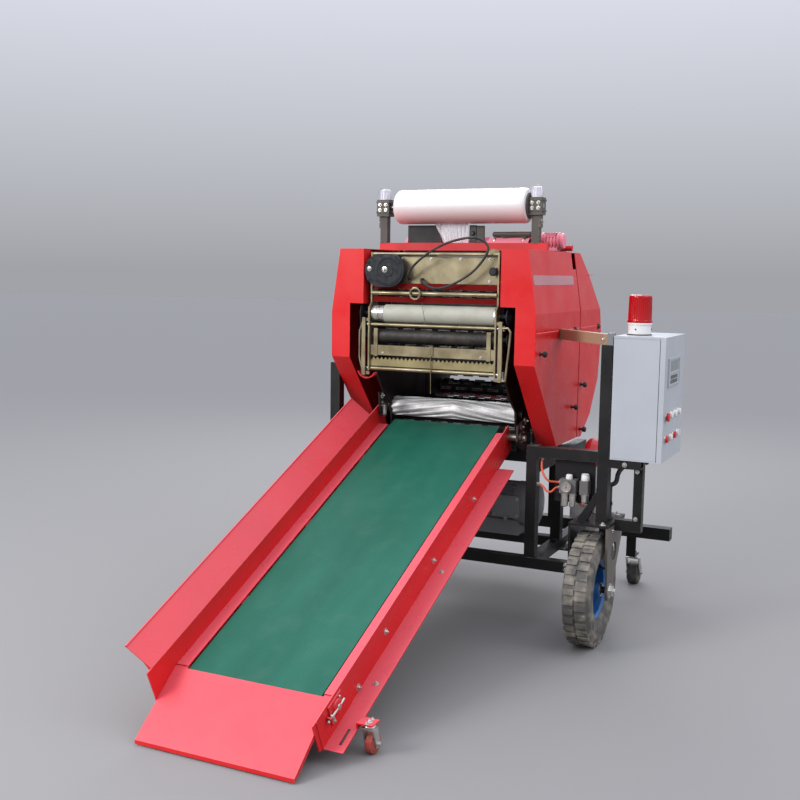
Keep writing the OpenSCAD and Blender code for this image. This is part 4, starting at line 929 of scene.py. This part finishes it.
for gland_x in (712, 750, 790):
    for gland_y in (150, 220):
        add_turned((gland_x, gland_y, cab_z), down,
                   [(-1, 14), (5, 14), (5.4, 12), (16, 12), (18, 9), (24, 8.4), (25, 5)], 12)
done("cable_glands", clip_black, "machine")
add_bolt((737, 46.5, 664), forward, 5)
for bolt_z in (470, 640):
    add_bolt((778, 67, bolt_z), forward, 4.5)
add_turned((646, 51, 1101), (0.4, -1, 0), [(-1, 6), (2, 6), (3, 4.6)], 20)
bolted("stand_bolts")
conduit_grey = rubber("conduit_grey", (0.045, 0.045, 0.047), (0.16, 0.14, 0.12), 0.4, 500, 0.4)
conduit_line = []
for k in range(7):
    turn = math.radians(15 * k)
    conduit_line.append((750 - 58 * math.sin(turn), 150 - 20 * math.sin(turn),
                         656 - 58 * (1 - math.cos(turn))))
for k in range(1, 7):
    turn = math.radians(15 * k)
    conduit_line.append((692 - 24 * (1 - math.cos(turn)), 130, 598 - 24 * math.sin(turn)))
conduit_line += [(668, 130, 540), (668, 130, 450)]
add_bent_rod(conduit_line, 8.5, 14)
add_block((655, 118, 500), (681, 122, 514))
add_turned((668, 130, 448), up, [(0, 14), (10, 14), (11, 11), (18, 11)], 8)
done("cabinet_conduit", conduit_grey, "machine", 0)
panel_grey = rubber("panel_grey", (0.40, 0.42, 0.44), (0.40, 0.38, 0.34), 0.3, 300, 0.4)
add_block((864, 95, 940), (867, 281, 1042))
for low_y, low_z, high_y, high_z in ((97, 942, 279, 948), (97, 1034, 279, 1040), (97, 948, 103, 1034),
                                     (273, 948, 279, 1034), (103, 986, 273, 989)):
    add_block((867, low_y, low_z), (869, high_y, high_z))
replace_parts(done("panel_bezel", panel_grey, "door"), "door_controls")
glass_dark, glass_tree, glass_shader, glass_place = new_finish("screen_glass")
smudge = speckle(glass_tree, glass_place, 40, 6)
wire(glass_tree, glass_shader, mixed(glass_tree, smudge, (0.17, 0.19, 0.20, 1), (0.24, 0.26, 0.27, 1)),
     mapped(glass_tree, smudge, 0.35, 0.7, 0.06, 0.3), smudge, 0.03, 0.0002)
add_block((866.6, 128, 994), (867.8, 258, 1030))
add_turned((866.6, 268, 1026), right, [(0, 2.4), (1.6, 2.4), (2, 1.6)], 12)
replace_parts(done("panel_screen", glass_dark, "door", 0.3), "door_controls")
for row in range(2):
    for column in range(5):
        low_y = 130 + 23 * column
        low_z = 951 + 16 * row
        add_block((866.6, low_y, low_z), (868.6, low_y + 18, low_z + 12))
key_grey = rubber("key_grey", (0.10, 0.11, 0.115), (0.3, 0.28, 0.25), 0.3, 300, 0.4)
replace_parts(done("panel_keys", key_grey, "door", 0.4), "door_controls")


def add_caps(seats, profile):
    for column, row in seats:
        add_turned((864, 90 + 66 * column, 838 - 78 * row), right, profile, 32)


add_caps([(column, row) for column in range(4) for row in range(2)],
         [(-0.5, 15.5), (2.5, 15.5), (4, 14.4), (4, 12)])
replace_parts(done("button_rings", bolt_zinc, "door", 0.3), "door_controls")
add_caps([(1, 0), (1, 1), (2, 0), (3, 0)], [(-0.5, 12), (10, 12), (12, 11.4), (13, 9)])
add_caps([(3, 1)], [(-0.5, 11.5), (8, 11.5), (9, 10)])
add_block((872, 285, 749), (878, 291, 771))
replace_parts(done("button_caps_white", white_plastic, "door", 0.4), "door_controls")
add_caps([(0, 0)], [(-0.5, 10), (6, 10), (7, 15), (11, 16.5), (13.4, 14), (14, 10)])
add_caps([(0, 1), (2, 1)], [(-0.5, 12), (9, 12), (11, 11.4), (12, 9)])
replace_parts(done("button_caps_red", red_plastic, "door", 0.4), "door_controls")
beacon_x = cab_x + 58
beacon_y = cab_front + 125
cab_top = cab_z + 435
lens_low = cab_top + 44
flutes = 36
lens_sides = 4 * flutes
lens_rings = []
for height, radius, depth in ((0, 43.4, 0), (6, 44, 0), (8, 43.4, 0), (8.6, 41.6, 0), (12, 41.6, 1.2),
                              (50, 41, 1.2), (88, 40.2, 1.2), (92, 40, 0), (96, 38, 0), (98, 34, 0),
                              (98, 8, 0)):
    ring = []
    for k in range(lens_sides):
        turn = 2 * math.pi * k / lens_sides
        reach = radius - depth * (0.5 + 0.5 * math.cos(turn * flutes))
        ring.append(bench.verts.new(at(beacon_x + reach * math.cos(turn),
                                       beacon_y + reach * math.sin(turn), lens_low + height)))
    lens_rings.append(ring)
skin(lens_rings)
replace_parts(done("beacon_lens_fluted", lens_red, "machine", 0), "beacon_lens")
add_turned((beacon_x, beacon_y, cab_top), up, [(0, 44), (3, 44), (4, 42), (4, 38)], 48)
for turn in (0.4, 2.5, 4.6):
    add_bolt((beacon_x + 40 * math.cos(turn), beacon_y + 40 * math.sin(turn), cab_top + 21),
             (math.cos(turn), math.sin(turn), 0), 3, False)
done("beacon_foot_seal", clip_black, "machine", 0.3)

# Drive: a finned grey motor with a fan cowl and a terminal box, a dark gearbox and a roller chain
# on the left side up to the chamber's lower roller.
motor_grey = enamel("motor_grey", (0.26, 0.262, 0.27), (0.19, 0.192, 0.20), (0.4, 0.4, 0.4),
                    (0.34, 0.29, 0.22), 0.7, 0.42)
coat(["drive_motor"], motor_grey)
gearbox_dark = enamel("gearbox_dark", (0.05, 0.055, 0.06), (0.04, 0.04, 0.045), (0.3, 0.3, 0.3),
                      (0.26, 0.22, 0.16), 0.6, 0.45)
coat(["drive_gearbox"], gearbox_dark)
shaft = (440, 402)
left = (-1, 0, 0)
add_turned((278, *shaft), right, [(0, 91), (2, 91), (16, 88), (22, 76), (22, 30)], 48)
for near, far in zip(circle(14, 34, shaft), circle(14, 74, shaft)):
    add_rod((299, *near), (299, *far), 2.4, 8)
add_block((138, 334, 442), (254, 374, 448))
add_turned((196, 336, 368), down, [(-1, 11), (6, 11), (7, 9), (18, 8)], 12)
done("motor_cowl_ribs", motor_grey, "machine")
for bolt_x in (148, 244):
    for bolt_z in (368, 436):
        add_bolt((bolt_x, 336, bolt_z), forward, 3.6)
for bolt_x in (-178, 8):
    for bolt_z in (296, 340, 460, 498):
        add_bolt((bolt_x, 350, bolt_z), forward, 5.5)
        add_bolt((bolt_x, 530, bolt_z), backward, 5.5)
for seat in circle(6, 52, shaft):
    add_bolt((-190, *seat), left, 5.5)
add_bolt((-85, 350, 330), forward, 9)
add_bolt((-85, 440, 512), up, 9)
bolted("drive_bolts")
for rib_y in (346, 530):
    for rib_z in (386, 412):
        add_block((-194, rib_y, rib_z), (24, rib_y + 4, rib_z + 6))
for k in range(9):
    add_block((-170 + k * 20, 347, 430), (-164 + k * 20, 350.2, 500))
    add_block((-170 + k * 20, 529.8, 430), (-164 + k * 20, 533, 500))
add_turned((-190, *shaft), left, [(-1, 66), (8, 66), (10, 62), (14, 40), (26, 34), (28, 24)], 48)
done("gearbox_ribs", gearbox_dark, "machine")
chain_low = Vector((0, *shaft))
chain_high = Vector((0, *roller_seat(246)))
chain_r = 41.5
run = chain_high - chain_low
upchain = run.normalized() * chain_r
across = Vector((0, -upchain.z, upchain.y))
chain_points = []
for start, way in ((chain_low, 1), (chain_high, -1)):
    for k in range(24):
        chain_points.append(start + way * (run * k / 24 + across))
    for k in range(10):
        turn = math.pi * k / 10
        chain_points.append(start + way * (run + across * math.cos(turn) + upchain * math.sin(turn)))
for point in chain_points:
    add_rod((-296.5, point.y, point.z), (-279.5, point.y, point.z), 3.2, 10)
done("chain_pins", roller_steel, "machine", 0)

# Air supply: a finned alloy compressor block under a red tank, and a filter unit with a gauge and a
# white pressure knob.
cast_alloy = bare_steel("cast_alloy", (0.62, 0.61, 0.60), (0.32, 0.30, 0.27), 0.40, 0.3, 0.8)
tank_red = enamel("tank_red", (0.60, 0.012, 0.018), (0.48, 0.01, 0.014), (0.6, 0.3, 0.28),
                  (0.42, 0.2, 0.16), 0.3, 0.28, 0.4, 0.4)
coat(["air_compressor"], cast_alloy)
unit_colours = ((0.16, 0.155, 0.15), (0.10, 0.095, 0.09), (0.5, 0.5, 0.49))
bracket_black = (0.008, 0.008, 0.0085)
coat(["air_unit"],
     in_parts("unit_alloy", unit_colours, [((-2, at(0, 100.9, 0).y, 0), (2, 9, 2), bracket_black)], 0.35))
tank_half = [(-0.6, 12), (-0.6, 43), (4, 49), (13, 55.4), (20, 55.6), (22, 56.6), (26, 56.6), (28, 55.6)]
tank_profile = tank_half + [(150 - distance, radius) for distance, radius in tank_half[::-1]]
add_turned((490, 450, 632), right, tank_profile, 48)
done("tank_shell", tank_red, "machine", 0)
for head_x, foot_x in ((452, 438), (538, 552)):
    for bolt_y in (412, 488):
        add_bolt((head_x, bolt_y, 502), up, 4)
        add_bolt((foot_x, bolt_y, 268), up, 4)
add_turned((496, 404, 430), forward, [(-1, 9), (6, 9), (7, 7), (12, 7), (13, 5)], 6)
add_turned((530, 107, 520), backward, [(-2, 9), (5, 9), (6, 6.5), (8, 6)], 6)
for seat, way in (((409, 80, 560), right), ((424, 86, 660), down), ((500, 76, 556), left),
                  ((500, 82, 574), left)):
    add_turned(seat, way, [(-1, 8), (4, 8), (5, 6), (9, 6)], 6)
add_turned((530, 43, 566), forward, [(-1, 18.6), (3, 19.4), (5, 18.6), (5, 16.4), (2.4, 16)], 40)
for bowl_x, bowl_depth in ((515, 50), (545, 50), (590, 30)):
    add_turned((bowl_x, 79, 540), down, [(-1, 15), (8, 15), (9, 13.4), (bowl_depth - 2, 13.4),
                                         (bowl_depth + 1, 10), (bowl_depth + 4, 4)], 28)
bolted("air_fittings")
add_turned((530, 43, 566), forward, [(-0.5, 16), (2.0, 16), (2.2, 15.6)], 40)
add_turned((590, 79, 590), up, [(-1, 15), (3, 15.6), (20, 14.6), (24, 12), (24.6, 6)], 14)
add_turned((530, 79, 590), up, [(-1, 12), (3, 12.6), (14, 12), (17, 8)], 14)
done("gauge_face", white_plastic, "machine", 0.3)
add_block((529.3, 39.6, 560), (530.7, 40.4, 578))
for x, z in circle(12, 12.6, (530, 566), -30)[:9]:
    add_block((x - 0.6, 40.2, z - 0.6), (x + 0.6, 40.9, z + 0.6))
add_turned((530, 41, 566), forward, [(-0.5, 2), (1.6, 2)], 12)
done("gauge_needle", clip_black, "machine", 0)

# Conveyor: red side channels, a flared board on the left, an endless green belt on two drums, a
# bearing block with a tension screw at each side of the tail, and an apron plate with folded edges.
belt_len = 1456
tail_z = 136
incline = math.asin((head_z - tail_z) / belt_len)
side_webs = ((1, 256), (-1, 272))


def belt_at(x, y, z):
    return (x, head_y + y * math.cos(incline) - z * math.sin(incline),
            head_z + y * math.sin(incline) + z * math.cos(incline))


def add_belt_block(low, high):
    add_plate([belt_at(*corner) for corner in end_face(low, high)], (high[0] - low[0], 0, 0))


upslope = Vector((0, math.cos(incline), math.sin(incline)))
off_belt = Vector((0, -math.sin(incline), math.cos(incline)))
belt_green, belt_tree, belt_shader, belt_place = new_finish("belt_green")
dot_nodes = add_node(belt_tree, "TexVoronoi", {"Vector": belt_place, "Scale": 210.0, "Randomness": 0.15})
dots = dot_nodes.outputs["Distance"]
wear_cloud = mapped(belt_tree, speckle(belt_tree, stretched(belt_tree, belt_place, (3, 0.8, 0.8)), 2.0, 5),
                    0.35, 0.7)
belt_base = mixed(belt_tree, wear_cloud, (0.008, 0.088, 0.055, 1), (0.016, 0.120, 0.080, 1))
wire(belt_tree, belt_shader, belt_base, mapped(belt_tree, dots, 0.0, 0.6, 0.62, 0.45), dots, 0.35, 0.0006)
belt_dust = mapped(belt_tree, speckle(belt_tree, belt_place, 14, 8), 0.5, 0.85, 0, 0.25)
tint(belt_green, belt_dust, (0.07, 0.16, 0.11))
weave_inputs = {"Vector": belt_place, "Scale": 45.0, "Distortion": 3.0, "Detail": 2.0}
weave = add_node(belt_tree, "TexWave", weave_inputs, bands_direction="DIAGONAL").outputs["Fac"]
tint(belt_green, mapped(belt_tree, weave, 0.35, 0.8, 0, 0.16), (0.002, 0.04, 0.025))
belt_shader.inputs["Specular IOR Level"].default_value = 0.2
coat(["feed_belt"], belt_green)
for side, web in side_webs:
    for bolt_y, bolt_z in ((-383, -30), (-754, -24), (-1128, -10), (-1332, -45)):
        add_bolt(belt_at(side * web, bolt_y, bolt_z), (side, 0, 0), 6.5)
    for bolt_x, bolt_y in ((280, -760), (290, -1290)):
        add_bolt(belt_at(side * bolt_x, bolt_y, -61), off_belt, 5)
    add_rod(belt_at(side * (web + 9), -1520, 0), belt_at(side * (web + 9), -1424, 0), 4.4)
    for nut_y in (-1512, -1500):
        add_turned(belt_at(side * (web + 9), nut_y, 0), upslope, [(0, 8), (6, 8), (7, 7)], 6)
    add_turned(belt_at(side * web, -belt_len, 0), (side, 0, 0), [(0, 10), (12, 10), (13.4, 8.4)], 24)
    add_bolt(belt_at(side * (web + 5), -1486, -24), (side, 0, 0), 5)
    add_bolt(belt_at(side * (web + 5), -1438, 22), (side, 0, 0), 4, False)
bolted("conveyor_bolts", "conveyor")
for side, web in side_webs:
    add_belt_block((side * web, -1496, -34), (side * (web + 5), -1422, 31))
    add_turned(belt_at(side * (web + 4), -belt_len, 0), (side, 0, 0),
               [(0, 24), (5, 23), (7, 19), (7, 10)], 32)
    add_belt_block((side * (web + 3), -1512, -9), (side * (web + 17), -1506, 9))
done("tail_bearings", cover_red, "conveyor", 0.6)
add_rod(belt_at(-337.5, -1556, 174.5), belt_at(-337.5, -92, 174.5), 3.2, 12)
for rib_y in (-1540, -1080, -600, -130):
    add_plate([belt_at(-272, rib_y, 100), belt_at(-272, rib_y, 40), belt_at(-276, rib_y, 40),
               belt_at(-338, rib_y, 168), belt_at(-334, rib_y, 171)], upslope * 4)
add_plate([belt_at(256, -1560, -64.6), belt_at(256, -1560, 38), belt_at(258.4, -1560, 38),
           belt_at(258.4, -1560, -64.6)], upslope * 3)
for side, web in side_webs:
    add_weld(belt_at(side * web, -1380, -60.6), belt_at(side * web, -150, -60.6), 1.8, 26)
for edge_x, width in ((-268, 40), (228, 24)):
    add_belt_block((edge_x, -1466, 32.2), (edge_x + width, -1449, 35))
done("board_hem", cover_red, "conveyor", 0)
tail_y = head_y - math.cos(incline) * belt_len
drum_r = 32
apron_y = tail_y - drum_r - 14
apron_z = tail_z + 14
fold = math.radians(39)


def apron_at(x, along, above):
    return (x, apron_y + along * math.cos(fold) - above * math.sin(fold),
            apron_z + along * math.sin(fold) + above * math.cos(fold))


for low_x, high_x in ((-268, -265), (249, 252)):
    add_plate([apron_at(low_x, -211.5, -1), apron_at(low_x, -6, -1), apron_at(low_x, -14, -13),
               apron_at(low_x, -204, -13)], (high_x - low_x, 0, 0))
lip_y, lip_z = apron_at(0, -211.4, 0)[1:]
add_plate([(-268, lip_y + 2, lip_z - 0.6), (-268, lip_y, lip_z), (-268, lip_y - 1.6, lip_z - 1.4),
           (-268, lip_y - 2, lip_z - 13), (-268, lip_y, lip_z - 13)], (520, 0, 0))
add_plate([apron_at(-268, -3, 0), apron_at(-268, 27, 0), apron_at(-268, 28, -0.8), apron_at(-268, 27, -1.6),
           apron_at(-268, -3, -1.6)], (520, 0, 0))
add_plate([apron_at(-278, 14, -1.4), apron_at(-278, 24, -1.4), apron_at(-267, 27, -1.4),
           apron_at(-267, 8, -1.4)], off_belt * 1.4)
for bracket_x in (-236, 200):
    add_plate([apron_at(bracket_x, -8, -3), apron_at(bracket_x, 4, -3), apron_at(bracket_x, 4, -20),
               apron_at(bracket_x, -8, -14)], (36, 0, 0))
done("apron_folds", cover_red, "conveyor", 0.4)

# Castors: bright zinc forks that swivel, red polyurethane wheels under the conveyor and black
# rubber wheels at the back.
castor_zinc = bare_steel("castor_zinc", (0.66, 0.65, 0.62), (0.36, 0.33, 0.28), 0.30)
coat(["castor_fork_fl", "castor_fork_fr", "castor_fork_rl", "castor_fork_rr"], castor_zinc)
castor_red = rubber("castor_red", (0.36, 0.03, 0.02), (0.28, 0.2, 0.14), 0.6)
castor_black = rubber("castor_black", (0.03, 0.03, 0.03), (0.2, 0.17, 0.12), 0.6)
coat(["castor_wheel_fl", "castor_wheel_fr"], castor_red)
coat(["castor_wheel_rl", "castor_wheel_rr"], castor_black)
front_castor_y = tail_y + 30
for word, castor_x, swivel_y, height, wheel_d, trail, tread in (
        ("front_left", -346, front_castor_y, 94, 60, 20, castor_red),
        ("front_right", 346, front_castor_y, 94, 60, 20, castor_red),
        ("rear_left", -590, 871, 134, 96, 30, castor_black),
        ("rear_right", 590, 871, 134, 96, 30, castor_black)):
    end, hand = word.split("_")
    leg = wheel_d * 0.26
    for face in (-1, 1):
        add_turned((castor_x + face * (leg + 4), swivel_y + trail, wheel_d / 2), (face, 0, 0),
                   [(0, 8.5), (1.2, 8.5), (1.4, 7.4), (6, 7.4), (6.6, 6.4)], 6)
    add_turned((castor_x, swivel_y, height - 12), up, [(0, 15.4), (3, 18), (5, 18.4), (8, 17), (11, 15)],
               32)
    done("castor_nuts_" + word, castor_zinc, "%s_fork_%s" % (end, hand), 0)
    half = leg - 2
    for face in (-1, 1):
        add_turned((castor_x + face * (half - 3), swivel_y + trail, wheel_d / 2), (face, 0, 0),
                   [(0, wheel_d * 0.30), (3.4, wheel_d * 0.30), (3.6, wheel_d * 0.26),
                    (2.4, wheel_d * 0.24), (2.4, wheel_d * 0.16), (3.6, wheel_d * 0.14), (3.6, 6.4)], 40)
    done("castor_hub_" + word, tread, "%s_castor_%s" % (end, hand),
         0)
    if end == "front":
        for bolt_y, bolt_r in ((-17, 4), (17, 4), (0, 5.5)):
            add_bolt((castor_x, swivel_y + bolt_y, height + 4), up, bolt_r)
    else:
        for bolt_x in (castor_x - 12, castor_x + 12):
            add_bolt((bolt_x, swivel_y + 12, height + 8), up, 4)
            add_bolt((bolt_x, 833, 250), backward, 5)
    done("castor_bolts_" + word, castor_zinc, "conveyor" if end == "front" else "machine", 0)

# Tailgate cylinders: grey enamelled steel barrels with end glands and screwed ports, and chromed
# rods that push the tailgate up.
cylinder_grey = enamel("cylinder_grey", (0.12, 0.12, 0.125), (0.08, 0.08, 0.085), (0.4, 0.4, 0.4),
                       (0.26, 0.22, 0.16), 0.3, 0.32, 0.4, 0.3)
coat(["barrel_left", "barrel_right"], cylinder_grey)
coat(["rod_left", "rod_right"],
     bare_steel("rod_chrome", (0.85, 0.85, 0.86), (0.75, 0.75, 0.76), 0.12, 0.05))
hinge_y = 557
hinge_z = 1430
arm_r = 190
arm_turn = math.radians(-60)
base = Vector((0, 300, 700))
eye = Vector((0, hinge_y + arm_r * math.cos(arm_turn), hinge_z + arm_r * math.sin(arm_turn)))
push = (eye - base).normalized()
barrel_len = (eye - base).length - 66
for side, word in ((-1, "left"), (1, "right")):
    foot = Vector((side * 340, base.y, base.z))
    add_turned(foot + push * (barrel_len - 26), push,
               [(0, 26.2), (1, 28.5), (24, 28.5), (26.4, 26), (26.6, 14)], 36)
    add_turned(foot + push * 46, push, [(0, 26), (1, 28), (20, 28), (22, 26.2)], 36)
    for port in (70, barrel_len - 44):
        add_turned(foot + push * port, (side, 0, 0), [(20, 9), (34, 9), (35, 7), (40, 7)], 6)
    done("cylinder_glands_" + word, cylinder_grey, "cylinder_" + word, 0.4)

# Tailgate: zinc bolts for the roller bearings and the side plates, welds and ribs on the backs of
# the red covers, and gussets and a bent handle welded to the cross tube.
for step in range(-4, 5):
    seat_y, seat_z = roller_seat(18 * step)
    for reach in (-17 / ring_r, 17 / ring_r):
        bolt_y = seat_y - (seat_z - chamber_z) * reach
        bolt_z = seat_z + (seat_y - chamber_y) * reach
        for side in (-1, 1):
            add_bolt((side * 286, bolt_y, bolt_z), (side, 0, 0), 3.6, False)
for side in (-1, 1):
    for bolt_y, bolt_z in ((580, 1230), (580, 1300), (592, 1380), (630, 1340)):
        add_bolt((side * 306, bolt_y, bolt_z), (side, 0, 0), 6)
    for bolt_y in (604, 632):
        add_bolt((side * 344, bolt_y, 1412), up, 4)
bolted("tailgate_bolts", "tailgate")
cover_back = ((740, 1325), (854, 1182), (882, 1075), (853, 890), (743, 745))
for side in (-1, 1):
    for rib_y, rib_z in cover_back:
        add_weld((side * 264, rib_y + 0.4, rib_z), (side * 408, rib_y + 0.4, rib_z), 1.5, 12)
    for first, second in zip(cover_back, cover_back[1:]):
        add_plate([(side * 262.4, first[0] + 0.2, first[1]), (side * 262.4, second[0] + 0.2, second[1]),
                   (side * 262.4, second[0] - 12, second[1]), (side * 262.4, first[0] - 12, first[1])],
                  (side * 3, 0, 0))
done("tailgate_back_ribs", cover_red, "tailgate", 0)
for side in (-1, 1):
    add_plate([(side * 261.6, 625, 1387), (side * 200, 625, 1387), (side * 261.6, 625, 1345)], (0, 30, 0))
handle = [(-60, 658, 1372), (-60, 690, 1372), (60, 690, 1372), (60, 658, 1372)]
for start, end in zip(handle, handle[1:]):
    add_rod(start, end, 7)
done("tailgate_gussets", chamber_red, "tailgate")

# Discharge ramp: folded red lips along the sheet's sides and its back edge, zinc bolts through
# the sheet beside its legs, and two nuts on the hitch's lower plate.
for side in (-1, 1):
    add_plate([(side * 262, 507, 644), (side * 262, 592, 644), (side * 262, 932, 507),
               (side * 262, 932, 524), (side * 262, 596, 660), (side * 262, 507, 656)], (-side * 3, 0, 0))
add_plate([(-262, 932, 503), (-262, 936, 500), (-262, 934, 494), (-262, 930, 496)], (524, 0, 0))
done("ramp_lips", cover_red, "machine", 0.4)
for bolt_x in (-235, 235):
    for bolt_y, bolt_z in ((700, 602), (860, 537)):
        add_bolt((bolt_x, bolt_y, bolt_z), (0, 0.37, 0.93), 5)
for bolt_x in (-22, 22):
    add_turned((bolt_x, 834, 245), up, [(0, 5), (12, 5)], 6)
bolted("ramp_bolts")
